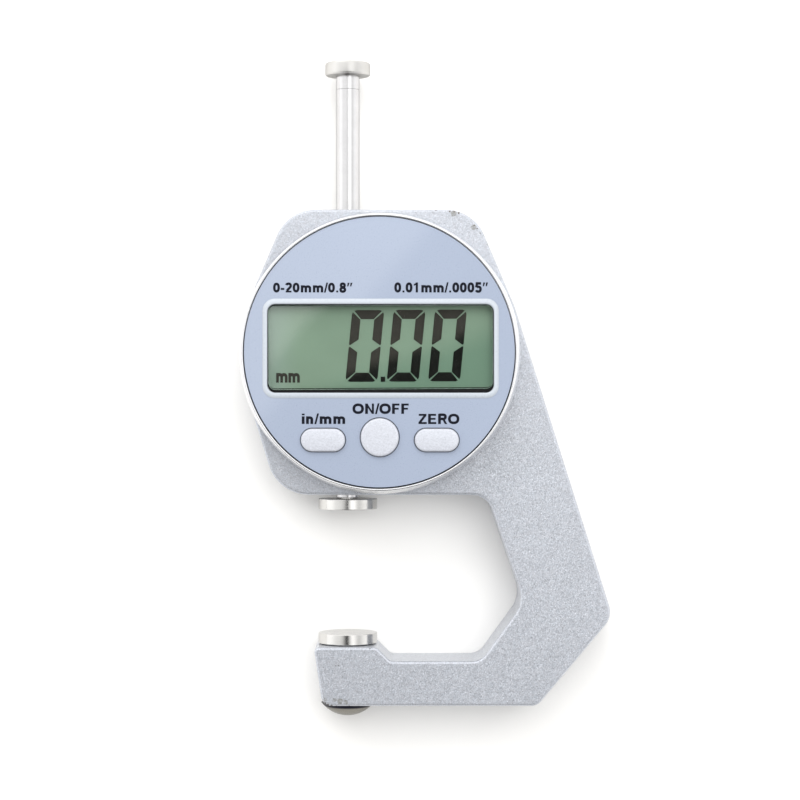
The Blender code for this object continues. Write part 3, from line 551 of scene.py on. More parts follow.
def rubber():
    s = Shader("black_rubber_skin", (0.012, 0.012, 0.013), 0.75, 0.0, Specular_IOR_Level=0.2)
    grain = s.noise(3000.0, 3.0)
    s.set("Base Color", s.mix(grain, (0.006, 0.006, 0.007), (0.018, 0.018, 0.019)))
    s.roughen(grain, 0.65, 0.85)
    s.bump(grain, 0.000006, 0.6)
    return s.material


def window_glass():
    """Clear acrylic. Lamps shine through it, and the eye sees its gloss."""
    s = Shader("window_glass", (0.97, 0.985, 0.975), 0.02, 0.0, Transmission_Weight=1.0, IOR=1.46)
    s.set("Roughness", s.fit(s.noise(180.0, 4.0, 0.6), 0.4, 0.75, 0.01, 0.035))
    s.bump(s.noise(60.0, 1.0), 0.0000008, 0.3)
    lamp = s.node("LightPath", "Is Shadow Ray")
    clear = s.node("BsdfTransparent", 0, None, Color=(0.96, 0.975, 0.965))
    mixed = s.node("MixShader", 0, None, i0=lamp, i1=s.surface.outputs[0], i2=clear)
    s.tree.links.new(mixed, s.tree.nodes["Material Output"].inputs["Surface"])
    return s.material


def display_film():
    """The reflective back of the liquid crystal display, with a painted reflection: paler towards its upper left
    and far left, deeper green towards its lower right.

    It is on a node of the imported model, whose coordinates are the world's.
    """
    bright, deep, pale = (0.199, 0.281, 0.208), (0.139, 0.227, 0.163), (0.256, 0.336, 0.286)
    s = Shader("display_film", bright, 0.45, 0.0, Specular_IOR_Level=0.25)
    # painted reflection: the film is paler towards the upper left and deeper green towards the lower right
    colour = s.mix(painted_glare_falloff(s, ORIGIN, 0.0, 6.0), bright, deep)
    # painted reflection: the far left is paler still
    left, right = (ORIGIN.x + (HEAD_X + x) * MM for x in (-18, -12.5))
    colour = s.mix(s.fit(s.part(s.coords, 0), left, right, 0.7, 0.0, True), colour, pale)
    cloud, grain = s.noise(110.0, 3.0), s.noise(4200.0, 2.0, 0.7)
    s.tint(colour, s.maths("ADD", s.vary(cloud, 0.97, 1.03), s.vary(grain, -0.02, 0.02)))
    s.roughen(grain, 0.4, 0.5)
    s.bump(grain, 0.000002, 0.4)
    return s.material


def painted_glare_falloff(s, origin, start, end):
    """0 at the display's upper left and 1 at its lower right: the painted reflection that lightens the film and
    the segments at the upper left fades along it.

    start and end are millimetres from the head's centre, and origin is where the gauge's frame has its
    own origin in the shader's coordinates.
    """
    past = s.vector("SUBTRACT", s.coords, tuple(origin + Vector(HEAD) * MM))
    along = s.vector("DOT_PRODUCT", past, (0.327, -0.945, 0.0), output=1)
    return s.fit(along, start * MM, end * MM, 0.0, 1.0, True)


def segment_ink():
    """Dark display segments, browner towards the upper left, where the painted reflection lightens the display."""
    s = Shader("segment_ink", (0.03, 0.028, 0.024), 0.5, 0.0, Specular_IOR_Level=0.1)
    # painted reflection: the segments are browner at the upper left and near black at the lower right
    colour = s.mix(painted_glare_falloff(s, -Vector(HEAD) * MM, 0.4, 2.9), (0.036, 0.033, 0.028), (0.002, 0.003, 0.002))
    s.set("Base Color", s.mix(s.vary(s.noise(2500.0, 2.0), 0.0, 0.08), colour, (0.05, 0.05, 0.045)))
    s.roughen(s.noise(4000.0, 2.0), 0.45, 0.6)
    return s.material


def label_ink():
    base = (0.002, 0.003, 0.008)
    s = Shader("label_ink", base, 0.5, 0.0, Specular_IOR_Level=0.2)
    grain = s.noise(5000.0, 2.0)
    s.tint(base, s.vary(grain, 0.8, 1.2))
    s.roughen(grain, 0.42, 0.58)
    return s.material


def board_lacquer():
    s = Shader("board_lacquer", (0.02, 0.16, 0.07), 0.35, 0.0, Coat_Weight=0.4, Coat_Roughness=0.15)
    tracks = s.fit(s.cells(520.0, "Distance", "DISTANCE_TO_EDGE"), 0.06, 0.1, 1.0, 0.0)
    s.set("Base Color", s.mix(tracks, (0.015, 0.12, 0.05), (0.04, 0.24, 0.1)))
    s.roughen(s.noise(1500.0, 2.0), 0.3, 0.45)
    s.bump(tracks, 0.00002, 0.5)
    return s.material


def lined(name, base, dark, scale, rough, metallic=0.0):
    """Fine parallel lines across the piece, such as a zebra strip's or a scale's."""
    s = Shader(name, base, rough, metallic)
    wave = s.node("TexWave", "Fac", {"bands_direction": "X"}, Vector=s.coords, Scale=scale, Distortion=0.0)
    mask = s.fit(wave, 0.4, 0.6)
    s.set("Base Color", s.mix(mask, base, dark))
    s.roughen(s.noise(2500.0, 2.0), rough - 0.05, rough + 0.1)
    s.bump(mask, 0.000008, 0.4)
    return s.material


# Pieces

WEAR_DARK = (  # x, y, z and radius in millimetres
    (17.2, 71.0, 6.1, 0.2),
    (17.9, 71.0, 6.1, 0.22),
    (18.7, 70.75, 6.1, 0.22),
    (21.3, 68.7, 6.2, 0.12),
    (21.8, 68.2, 6.2, 0.12),
    (22.3, 67.4, 6.2, 0.12),
    (23.5, 65.5, 6.2, 0.15),
    (14.9, 71.2, 6.0, 0.18),
    (-5.05, -6.9, 5.9, 0.26),
    (-3.7, -11.2, 6.0, 0.25),
    (-3.2, -11.5, 6.1, 0.22),
    (-2.6, -11.7, 6.0, 0.25),
    (-1.8, -11.75, 6.0, 0.16),
    (0.4, -11.7, 6.0, 0.14),
    (-1.9, -5.0, 6.25, 0.12),
    (-1.4, -4.95, 6.25, 0.09),
    (3.86, -2.1, 6.2, 0.12),
    (4.25, -2.4, 6.2, 0.1),
)
WEAR_GREY = (
    (-1.2, -10.9, 6.25, 0.5),
    (-0.2, -11.1, 6.25, 0.4),
    (-2.1, -10.7, 6.25, 0.35),
    (-3.6, -10.6, 6.2, 0.35),
    (17.9, 70.7, 6.2, 0.5),
    (21.2, 68.4, 6.2, 0.45),
)
PAINT = (0.505, 0.52, 0.56)


def edge_levels(half, radius, steps):
    """(inset, height) from the lower flat to the upper one, over rounded edges."""
    turns = [math.radians(90 * i / steps) for i in range(steps + 1)]
    low = [(radius * (1 - math.sin(a)), -half + radius * (1 - math.cos(a))) for a in turns]
    return low + [(inset, -height) for inset, height in reversed(low)]


def build_frame():
    levels = edge_levels(FRAME_HALF, FRAME_EDGE, 6)
    made = mesh_object("frame_body", loft([at_height(rounded(FRAME_CORNERS, inset), z) for inset, z in levels]))
    beyond = FRAME_HALF + 1
    guide = SLOT_LOW - GUIDE_DEPTH - GAP, SLOT_HIGH + GUIDE_DEPTH + GAP
    tools = [
        (cylinder(CAVITY_R, -beyond, beyond, steps=128), HEAD, FLAT),
        (block((SLOT_LEFT, SLOT_LOW, -beyond), (SLOT_RIGHT, SLOT_HIGH, beyond)), FLAT, FLAT),
        (cylinder(COVER_R + GAP, -beyond, COVER_HIGH + GAP, steps=160), HEAD, FLAT),
        (cylinder(BUSH_R + GAP, HEAD_BOTTOM - 2, HEAD_TOP + 2), FLAT, ALONG_Y),
        (cylinder(ANVIL_SHANK_R + GAP, FOOT_BOTTOM - 2, BOSS_TOP + 2), FLAT, ALONG_Y),
        (cylinder(GUIDE_R + GAP, *guide, steps=32), (GUIDE_X, 0.0, GUIDE_Z), ALONG_Y),
    ]
    for x, y in round_places(CASE_SCREW_CIRCLE, CASE_SCREW_ANGLES):
        tools.append((cylinder(CASE_SCREW_R + GAP, 1.5, beyond, steps=24), (x, y, 0.0), FLAT))
    for x, y in round_places(COVER_SCREW_CIRCLE, COVER_SCREW_ANGLES):
        tools.append((cylinder(COVER_SCREW_R + GAP, -beyond, -1.7, steps=24), (x, y, 0.0), FLAT))
    cut(made, [("DIFFERENCE", *tool) for tool in tools])
    wear = (((0.30, 0.30, 0.29), WEAR_GREY), ((0.09, 0.075, 0.06), WEAR_DARK))
    piece(made, "gauge", "silver_paint", silver_paint("casting_paint", PAINT, wear), "frame")


def build_anvil(metal):
    edge = 0.09
    profile = [(0, 0), *edge_arc(edge, ANVIL_R - edge, -edge, 90, 0)]
    profile += edge_arc(edge, ANVIL_R - edge, edge - ANVIL_THICK, 0, -90)
    profile += [
        (ANVIL_SHANK_R, -ANVIL_THICK),
        (ANVIL_SHANK_R, FOOT_BOTTOM + SEAM),
        (ANVIL_THREAD_R, FOOT_BOTTOM + SEAM),
        (ANVIL_THREAD_R, ANVIL_THREAD_END),
        (0, ANVIL_THREAD_END),
    ]
    # The low angle keeps the first facet of the fine edge from tilting the disc's sides.
    turned_piece("anvil_disc", profile, "gauge", "polished_steel", metal, "anvil", steps=128, angle=8)


def build_anvil_nut(metal):
    base = FOOT_BOTTOM - SEAM
    rise = base - NUT_END
    sphere = (NUT_R**2 + rise**2) / (2 * rise)
    half_angle = math.asin(NUT_R / sphere)
    steps = 16
    dome = []
    for i in range(steps + 1):
        angle = half_angle * i / steps
        dome.append((sphere * math.sin(angle), NUT_END + sphere * (1 - math.cos(angle))))
    bore = ANVIL_THREAD_R + GAP
    hole = [(bore, base), (bore, ANVIL_THREAD_END - GAP), (0, ANVIL_THREAD_END - GAP)]
    turned_piece("domed_nut", dome + hole, "gauge", "polished_steel", metal, "anvil_nut", steps=128)


def build_spindle(metal):
    bore, edge = SHANK_R + GAP, 0.08
    low_end, high_end = CONTACT_HIGH + SHANK_LENGTH + GAP, SPINDLE_HIGH - SHANK_LENGTH - GAP
    top, high_edge = SPINDLE_HIGH + SEAM - 0.02, 0.02
    profile = [(0, low_end), (bore, low_end), (bore, SPINDLE_LOW)]
    profile += edge_arc(edge, SPINDLE_R - edge, SPINDLE_LOW + edge, -90, 0)
    profile += edge_arc(high_edge, SPINDLE_R - high_edge, top - high_edge, 0, 90)
    profile += [(bore, top), (bore, high_end), (0, high_end)]
    turned_piece("spindle_rod", profile, "spindle", "polished_steel", metal, "spindle", angle=15)


def build_contact(metal):
    edge = 0.13
    profile = [(0, CONTACT_LOW), *edge_arc(edge, CONTACT_R - edge, CONTACT_LOW + edge, -90, 0)]
    profile += edge_arc(edge, CONTACT_R - edge, CONTACT_HIGH - edge, 0, 90)
    profile += [(SHANK_R, CONTACT_HIGH), (SHANK_R, CONTACT_HIGH + SHANK_LENGTH), (0, CONTACT_HIGH + SHANK_LENGTH)]
    shading = {"steps": 128, "angle": 8}
    turned_piece("contact_disc", profile, "spindle", "polished_steel", metal, "spindle_contact", **shading)


def build_knob(metal, neck_metal):
    edge, start, neck_low, neck_high = 0.35, SPINDLE_HIGH - SHANK_LENGTH, SPINDLE_HIGH + SEAM, KNOB_LOW - 0.02
    profile = [(0, start), (SHANK_R, start), (SHANK_R, KNOB_LOW)]
    profile += edge_arc(edge, KNOB_R - edge, KNOB_LOW + edge, -90, 0, 8)
    profile += edge_arc(edge, KNOB_R - edge, KNOB_HIGH - edge, 0, 90, 8)
    profile += [(1.2, KNOB_HIGH), (0.5, KNOB_HIGH - 0.35), (0, KNOB_HIGH - 0.45)]
    turned_piece("knob_turning", profile, "spindle", "polished_steel", metal, "lifting_knob", steps=128)
    bore = SHANK_R + 0.02
    neck = [(bore, neck_low), (SPINDLE_R - 0.04, neck_low), (SPINDLE_R, neck_low + 0.03)]
    neck += [(SPINDLE_R, neck_high), (bore, neck_high)]
    turned_piece("knob_neck", neck, "spindle", "polished_steel", neck_metal, angle=15)


def build_bushes(metal):
    bore, pocket, edge = SPINDLE_R + RUNNING, 2.95, 0.12
    low, high = HEAD_BOTTOM + SEAM, SLOT_LOW - GAP
    step = high - 1.6
    lower = [(bore, low + edge), (bore + edge, low), (BUSH_R - edge, low), (BUSH_R, low + edge)]
    lower += [(BUSH_R, high), (pocket, high), (pocket, step), (bore, step)]
    turned_piece("bush_below", lower, "gauge", "bronze", metal, "lower_bush")
    low, high = SLOT_HIGH + GAP, HEAD_TOP - SEAM
    upper = [(bore, low), (BUSH_R, low), (BUSH_R, high - edge), (BUSH_R - edge, high)]
    upper += [(bore + edge, high), (bore, high - edge)]
    turned_piece("bush_above", upper, "gauge", "bronze", metal, "upper_bush")


def build_head_case(metal):
    lip = CASE_RIM_R - 0.35
    profile = [(FLANGE_R, CASE_LOW), (CASE_BASE_R - 0.25, CASE_LOW)]
    profile += edge_arc(0.25, CASE_BASE_R - 0.25, CASE_LOW + 0.25, -90, 0)
    profile += [(CASE_RIM_R + 0.06, CASE_HIGH - 0.3), (CASE_RIM_R + 0.02, CASE_HIGH - 0.12)]
    profile += [(CASE_RIM_R - 0.05, CASE_HIGH - 0.02), (CASE_RIM_R - 0.1, CASE_HIGH)]
    profile += [(lip + 0.08, CASE_HIGH), (lip + 0.02, CASE_HIGH - 0.03), (lip, CASE_HIGH - 0.1)]
    profile += [(lip, LEDGE_Z), (CASE_INNER_R, LEDGE_Z), (CASE_INNER_R, FLANGE_HIGH), (FLANGE_R, FLANGE_HIGH)]
    made = mesh_object("case_ring", turned(profile, 288), HEAD)
    slot = block((SLOT_LEFT, SLOT_LOW, CASE_LOW - 1), (SLOT_RIGHT, SLOT_HIGH, FLANGE_HIGH + 1))
    tools = [("DIFFERENCE", slot, FLAT, FLAT)]
    for x, y in round_places(CASE_SCREW_CIRCLE, CASE_SCREW_ANGLES):
        sink = screw_sink(CASE_SCREW_R, CASE_SCREW_HEAD, -3.0, 24)
        tools.append(("DIFFERENCE", sink, (x, y, FLANGE_HIGH), FLAT))
    for x, y in round_places(BOARD_SCREW_CIRCLE, BOARD_SCREW_ANGLES):
        hole = cylinder(BOARD_SCREW_R + GAP, CASE_LOW + 0.1, FLANGE_HIGH + 1, steps=24)
        tools.append(("DIFFERENCE", hole, (x, y, 0.0), FLAT))
    cut(made, tools)
    piece(made, "gauge", "turned_steel", metal, "head_case", angle=28)


def build_face_plate(shader):
    """The printed plate, with a small rounded edge round itself and each opening."""
    edge, steps = 0.05, 3
    insert = INSERT_SIZE[0] + 2 * FACE_GAP, INSERT_SIZE[1] + 2 * FACE_GAP
    outlines = (
        lambda grow: circle(FACE_R + grow, 0.0, FACE_RISE, 288),
        lambda grow: rectangle((insert[0] - 2 * grow, insert[1] - 2 * grow), 1.8 - grow, WINDOW_X, WINDOW_Y),
        lambda grow: pill(PILL_LENGTH, PILL_WIDTH, BUTTON_GAP - grow, PILL_LEFT, PILL_Y),
        lambda grow: pill(PILL_LENGTH, PILL_WIDTH, BUTTON_GAP - grow, PILL_RIGHT, PILL_Y),
        lambda grow: circle(ROUND_R + BUTTON_GAP - grow, ROUND_X, ROUND_Y, 96),
    )
    levels = [(0.0, FACE_LOW)]
    for i in range(steps + 1):
        a = math.radians(90 * i / steps)
        levels.append((-edge * (1 - math.cos(a)), FACE_HIGH - edge + edge * math.sin(a)))
    bm = bmesh.new()
    ends = []
    for outline in outlines:
        rows = [[bm.verts.new(p) for p in at_height(outline(grow), z)] for grow, z in levels]
        skin(bm, rows)
        ends.append((rows[0], rows[-1]))
    for rows in zip(*ends):
        edges = [bm.edges.get((row[i - 1], row[i])) for row in rows for i in range(len(row))]
        bmesh.ops.triangle_fill(bm, use_beauty=True, edges=edges)
    made = mesh_object("dial_plate", bm, HEAD)
    piece(made, "gauge", "face_blue_grey", shader, "face_plate", angle=12)


PANE_LEAN = (0.0046, 0.0053, 0.0062)  # radians; the pane isn't glued in quite flat


def window_place(rise=0.0):
    return HEAD_X + WINDOW_X, HEAD_Y + WINDOW_Y + rise, 0.0


def build_window(shaders):
    def size(grow, base=WINDOW_SIZE):
        return base[0] + 2 * grow, base[1] + 2 * grow

    crown = BEZEL_HIGH
    section = [
        (INSERT_SIZE, INSERT_CORNER, BEZEL_LOW),
        (INSERT_SIZE, INSERT_CORNER, BEZEL_SHELF),
        (BEZEL_SIZE, BEZEL_CORNER, BEZEL_SHELF),
        (size(-0.08, BEZEL_SIZE), BEZEL_CORNER - 0.08, BEZEL_SHELF + 0.08),
        (size(-0.25, BEZEL_SIZE), BEZEL_CORNER - 0.25, crown - 0.06),
        (size(-0.45, BEZEL_SIZE), BEZEL_CORNER - 0.45, crown),
        (size(0.2), WINDOW_CORNER + 0.2, crown),
        (size(0.12), WINDOW_CORNER + 0.12, crown - 0.02),
        (size(0.03), WINDOW_CORNER + 0.03, crown - 0.1),
        (WINDOW_SIZE, WINDOW_CORNER, crown - 0.2),
        (WINDOW_SIZE, WINDOW_CORNER, BEZEL_LOW),
    ]
    loops = [at_height(rectangle(*part[:2], most_step=5), part[2]) for part in section]
    made = mesh_object("window_frame", loft(loops, ring=True), window_place())
    piece(made, "gauge", "bezel_white", shaders["bezel"], "window_bezel")
    corner, edge = WINDOW_CORNER - SEAM, 0.08
    half = (LENS_HIGH - LENS_LOW) / 2
    levels = ((edge, -half), (0.0, edge - half), (0.0, half - edge), (edge, half))
    loops = [at_height(rectangle(size(-inset, LENS_SIZE), corner - inset), z) for inset, z in levels]
    x, y, _ = window_place(LENS_RISE)
    made = mesh_object("window_pane", loft(loops), (x, y, LENS_LOW + half), PANE_LEAN)
    piece(made, "gauge", "clear_lens", shaders["glass"], "window_lens")
    lean = PANE_LEAN[2]
    opening = [(x - y * lean, y + x * lean) for x, y in rectangle(GASKET_OPENING, 1.0, y=GASKET_RISE)]
    seal = prism(rectangle(DISPLAY_SIZE, 0.3), GASKET_LOW, GASKET_HIGH, [opening])
    made = mesh_object("window_seal", seal, window_place())
    piece(made, "gauge", "black_rubber", shaders["rubber"], "window_gasket")


DIGIT_LEFT, DIGIT_PITCH, DIGIT_LOW, DIGIT_RISE = -5.62, 6.8, -4.8, 0.035
DIGIT_WIDTH, DIGIT_HEIGHT, DIGIT_THICK = 5.26, 11.8, 1.5
DIGIT_SLANT, SEGMENT_GAP = math.tan(math.radians(5.6)), 0.17
POINT_LEFT, POINT_RIGHT, POINT_TALL = 0.2, 0.94, 0.84
SEGMENT_LOW, SEGMENT_HIGH = DISPLAY_HIGH + 0.02, DISPLAY_HIGH + 0.05


def zero_digit(x, y):
    """The six mitred segments of a 0. x, y is its lower left corner before it leans."""
    left, right, bottom, top, middle = x, x + DIGIT_WIDTH, y, y + DIGIT_HEIGHT, y + DIGIT_HEIGHT / 2
    thick, gap, corner = DIGIT_THICK, SEGMENT_GAP / 2, DIGIT_THICK * 0.45
    mitre, nick = 0.42 * corner + gap * 0.8, 0.2 * corner
    outlines = [
        (
            (left + corner + gap, end),
            (right - corner - gap, end),
            (right - mitre, end + way * nick),
            (right - thick - gap, end + way * thick),
            (left + thick + gap, end + way * thick),
            (left + mitre, end + way * nick),
        )
        for end, way in ((top, -1), (bottom, 1))
    ]
    for end, way in ((top, -1), (bottom, 1)):
        inner = middle - way * gap * 1.3
        for side, inwards in ((left, 1), (right, -1)):
            outlines.append((
                (side, end + way * (corner + gap)),
                (side + inwards * nick, end + way * mitre),
                (side + inwards * thick, end + way * (thick + gap)),
                (side + inwards * thick, inner - way * thick * 0.62),
                (side + inwards * thick * 0.12, inner),
                (side, inner - way * thick * 0.1),
            ))
    bm = bmesh.new()
    for outline in outlines:
        leaning = [(px + (py - y) * DIGIT_SLANT, py) for px, py in outline]
        loft([at_height(leaning, z) for z in (SEGMENT_LOW, SEGMENT_HIGH)], bm=bm)
    return bm


def build_digits(shader):
    for i, name in enumerate(("units", "tenths", "hundredths")):
        bm = zero_digit(DIGIT_LEFT + i * DIGIT_PITCH, DIGIT_LOW + i * DIGIT_RISE)
        piece(mesh_object(f"digit_{name}", bm, HEAD), "gauge", "display_green", shader)
    dot = block((POINT_LEFT, DIGIT_LOW, SEGMENT_LOW), (POINT_RIGHT, DIGIT_LOW + POINT_TALL, SEGMENT_HIGH))
    piece(mesh_object("digit_point", dot, HEAD), "gauge", "display_green", shader)


WEIGHT = 0.255  # of a letter's strokes; letters are drawn one unit high
X_HEIGHT = 0.74
INK_HEIGHT = 0.03


def oval(x, y, across, up, start=0, end=360, steps=28):
    """Points on a squarish oval, from the start angle to the end angle, in degrees."""
    points = []
    for i in range(steps + 1):
        a = math.radians(start + (end - start) * i / steps)
        c, d = math.cos(a), math.sin(a)
        points.append((x + across * math.copysign(abs(c) ** 0.86, c), y + up * math.copysign(abs(d) ** 0.86, d)))
    return points


def stroke(points, width=WEIGHT, closed=False):
    """Four-sided pieces along a line of points."""
    ends = [Vector(p) for p in points]
    count = len(ends)
    sides = []
    for i, end in enumerate(ends):
        ways = []
        if closed or i > 0:
            ways.append((end - ends[i - 1]).normalized())
        if closed or i < count - 1:
            ways.append((ends[(i + 1) % count] - end).normalized())
        way = sum(ways, Vector((0, 0))).normalized()
        out = Vector((-way.y, way.x)) * width / 2 / max(0.6, way.dot(ways[-1]))
        sides.append((end + out, end - out))
    nexts = sides[1:] + sides[:1] if closed else sides[1:]
    return [[here[1], there[1], there[0], here[0]] for here, there in zip(sides, nexts)]


def bar(left, bottom, right, top):
    return [[Vector((left, bottom)), Vector((right, bottom)), Vector((right, top)), Vector((left, top))]]


def slab(*points):
    return [[Vector(p) for p in points]]


def arch(left, right):
    """The arch and far leg of an n or an m."""
    middle, foot = (left + right) / 2, X_HEIGHT - WEIGHT / 2 - 0.2
    return stroke([(right, 0.0), *oval(middle, foot, (right - left) / 2, 0.2, 0, 180, 14)])


def letter(sign):
    """The pieces of a letter, and how far on the next one starts."""
    half = WEIGHT / 2
    stem = bar(0.10, 0.0, 0.10 + WEIGHT, 1.0)
    leg = bar(0.10, 0.0, 0.10 + WEIGHT, X_HEIGHT)
    first = 0.10 + half
    if sign == "0":
        return stroke(oval(0.388, 0.5, 0.225, 0.5 - half + 0.01)[:-1], closed=True), 0.777
    if sign == "1":
        return bar(0.30, 0.0, 0.53, 1.0) + slab((0.10, 0.66), (0.36, 0.78), (0.38, 0.99), (0.10, 0.83)), 0.777
    if sign == "2":
        curve = stroke([*oval(0.385, 0.695, 0.225, 0.21, 165, -40, 16), (0.21, 0.17)])
        foot = slab((0.10, 0.05), (0.34, 0.05), (0.34, 0.17), (0.14, 0.17))
        return curve + bar(0.10, 0.0, 0.69, 0.17) + foot, 0.777
    if sign == "5":
        bowl = oval(0.375, 0.33, 0.235, 0.24, 128, -158, 20)
        return stroke([(0.66, 0.91), (0.235, 0.91), (0.175, 0.50)]) + stroke(bowl), 0.777
    if sign == "8":
        upper = stroke(oval(0.388, 0.735, 0.19, 0.175)[:-1], closed=True)
        return upper + stroke(oval(0.388, 0.28, 0.225, 0.195)[:-1], closed=True), 0.777
    if sign == ".":
        return bar(0.10, 0.0, 0.30, 0.19), 0.388
    if sign == "-":
        return bar(0.05, 0.26, 0.42, 0.46), 0.465
    if sign == "/":
        return slab((0.0, -0.02), (0.17, -0.02), (0.42, 1.02), (0.25, 1.02)), 0.388
    if sign == '"':
        tick = ((0.06, 0.62), (0.18, 0.62), (0.31, 1.0), (0.11, 1.0))
        return slab(*tick) + slab(*((x + 0.30, y) for x, y in tick)), 0.56
    if sign == "i":
        return leg + bar(0.10, 0.84, 0.10 + WEIGHT, 1.0), 0.388
    if sign == "n":
        return leg + arch(first, 0.62), 0.853
    if sign == "m":
        return leg + arch(first, 0.615) + arch(0.615, 1.04), 1.242
    if sign == "O":
        return stroke(oval(0.543, 0.5, 0.40, 0.5 - half + 0.012)[:-1], closed=True), 1.086
    if sign == "N":
        return stem + bar(0.72, 0, 0.91, 1) + slab((0.71, 0.0), (0.91, 0.0), (0.30, 1.0), (0.10, 1.0)), 1.008
    if sign == "F":
        return stem + bar(0.1, 0.81, 0.78, 1) + bar(0.1, 0.41, 0.71, 0.59), 0.853
    if sign == "E":
        return stem + bar(0.1, 0.81, 0.84, 1) + bar(0.1, 0.42, 0.79, 0.60) + bar(0.1, 0, 0.86, 0.19), 0.931
    if sign == "Z":
        diagonal = slab((0.05, 0.17), (0.32, 0.17), (0.80, 0.83), (0.53, 0.83))
        return bar(0.08, 0.81, 0.80, 1) + diagonal + bar(0.05, 0, 0.82, 0.19), 0.853
    if sign == "R":
        curve = oval(0.58, 0.71, 0.2, 0.205, 80, -80, 12)
        bowl = stroke([(0.2, 0.915), (0.5, 0.915), *curve, (0.5, 0.505), (0.2, 0.505)])
        return stem + bowl + slab((0.72, 0.0), (0.95, 0.0), (0.68, 0.52), (0.46, 0.52)), 1.008
    raise ValueError(f"no letter drawn for {sign!r}")


def build_label(name, words, left, right, bottom, top, z, slot, shader, tight=0.0):
    """Words as one thin mesh, fitted to a box given from the head's centre."""
    verts, faces, start = [], [], 0.0
    for sign in words:
        pieces, advance = letter(sign)
        for corners in pieces:
            faces.append(list(range(len(verts), len(verts) + len(corners))))
            verts += [Vector((corner.x + start, corner.y)) for corner in corners]
        start += advance - tight
    flat, _, triangles, _, _, sources = delaunay_2d_cdt(verts, [], faces, 0, 1e-5)
    inside = [face for face, source in zip(triangles, sources) if source]
    used = sorted({i for face in inside for i in face})
    xs, ys = [flat[i].x for i in used], [flat[i].y for i in used]
    bm = bmesh.new()
    rows = []
    for height in (z, z + INK_HEIGHT):
        row = {}
        for i in used:
            x = left + (flat[i].x - min(xs)) / (max(xs) - min(xs)) * (right - left)
            y = bottom + (flat[i].y - min(ys)) / (max(ys) - min(ys)) * (top - bottom)
            row[i] = bm.verts.new((x, y, height))
        rows.append(row)
    seen = {}
    for face in inside:
        for row in rows:
            bm.faces.new([row[i] for i in face])
        for a, b in zip(face, face[1:] + face[:1]):
            seen[frozenset((a, b))] = seen.get(frozenset((a, b)), 0) + 1
    for a, b in (edge for edge, count in seen.items() if count == 1):
        bm.faces.new((rows[0][a], rows[0][b], rows[1][b], rows[1][a]))
    piece(mesh_object(name, bm, HEAD), "gauge", slot, shader)


def build_labels(shaders):
    for name, words, *box in (
        ("label_range", '0-20mm/0.8"', -17.4, -4.4, 9.75, 11.45),
        ("label_step", '0.01mm/.0005"', 2.45, 17.8, 9.75, 11.5),
        ("label_unit", "in/mm", -12.7, -5.6, -11.75, -10.0),
        ("label_power", "ON/OFF", -4.4, 4.8, -10.1, -8.35),
        ("label_zero", "ZERO", 6.4, 13.1, -11.75, -10.0),
    ):
        build_label(name, words, *box, FACE_HIGH - 0.005, "face_blue_grey", shaders["ink"])
    box = (-17.0, -13.1, -4.95, -3.35)
    build_label("display_unit", "mm", *box, SEGMENT_LOW, "display_green", shaders["segment"], tight=0.1)


def button_levels(most_inset):
    lip_top, crown, steps = FACE_LOW - GAP, 0.06, 8
    top = BUTTON_HIGH - crown
    levels = [(-BUTTON_LIP, BUTTON_LOW), (-BUTTON_LIP, lip_top), (0, lip_top)]
    for point in arc(0, 0, BUTTON_EDGE, 0, 90, 11.25):
        levels.append((BUTTON_EDGE - point.x, top - BUTTON_EDGE + point.y))
    for i in range(1, steps + 1):
        share = i / steps
        inset = BUTTON_EDGE + (most_inset - BUTTON_EDGE) * share
        levels.append((inset, top + crown * (1 - (1 - share) ** 2)))
    return levels


def build_buttons(shader):
    for name, x, node in (("pill_unit", PILL_LEFT, "unit_button"), ("pill_zero", PILL_RIGHT, "zero_button")):
        levels = button_levels(PILL_WIDTH / 2 - 0.08)
        loops = [at_height(pill(PILL_LENGTH, PILL_WIDTH, -inset), z) for inset, z in levels]
        made = mesh_object(name, loft(loops), (HEAD_X + x, HEAD_Y + PILL_Y, 0.0))
        piece(made, node, "button_silver", shader, node)
    levels = button_levels(ROUND_R - 0.1)
    loops = [at_height(circle(ROUND_R - inset, steps=96), z) for inset, z in levels]
    made = mesh_object("round_power", loft(loops), (HEAD_X + ROUND_X, HEAD_Y + ROUND_Y, 0.0))
    piece(made, "power_button", "button_silver", shader, "power_button")


def cross_cutter(reach, width, depth):
    """A tapered cross for a screw's drive recess, standing on its head's flat and pointing down."""
    loops = []
    for scale, z in ((1.12, 0.3), (1.0, 0.0), (0.35, -depth)):
        r, w = reach * scale, width * scale
        points = []
        for i in range(4):
            c, s = math.cos(math.pi / 2 * i), math.sin(math.pi / 2 * i)
            points += [(x * c - y * s, x * s + y * c) for x, y in ((r, w), (w, w), (w, r))]
        loops.append(at_height(points, z))
    return loft(loops)


def build_cover_screws(metal):
    head, radius, sunk = COVER_SCREW_HEAD, COVER_SCREW_R, 0.05
    length = COVER_SCREW_END - COVER_LOW - sunk
    profile = [(0, 0.0), (head - 0.1, 0.0), (head, -0.06), (head, -0.1), (radius, radius - head - 0.1)]
    profile += [(radius, 0.3 - length), (radius - 0.3, -length), (0, -length)]
    for i, (x, y) in enumerate(round_places(COVER_SCREW_CIRCLE, COVER_SCREW_ANGLES)):
        place = (x, y, COVER_LOW + sunk)
        made = mesh_object(f"cover_fixing_{i + 1}", turned(profile, 64), place, FACING_BACK)
        turn = (math.pi, 0.0, math.radians(17 + 31 * i))
        cut(made, [("DIFFERENCE", cross_cutter(1.0, 0.2, 0.7), place, turn)])
        piece(made, "gauge", "polished_steel", metal, f"cover_screw_{i + 1}")


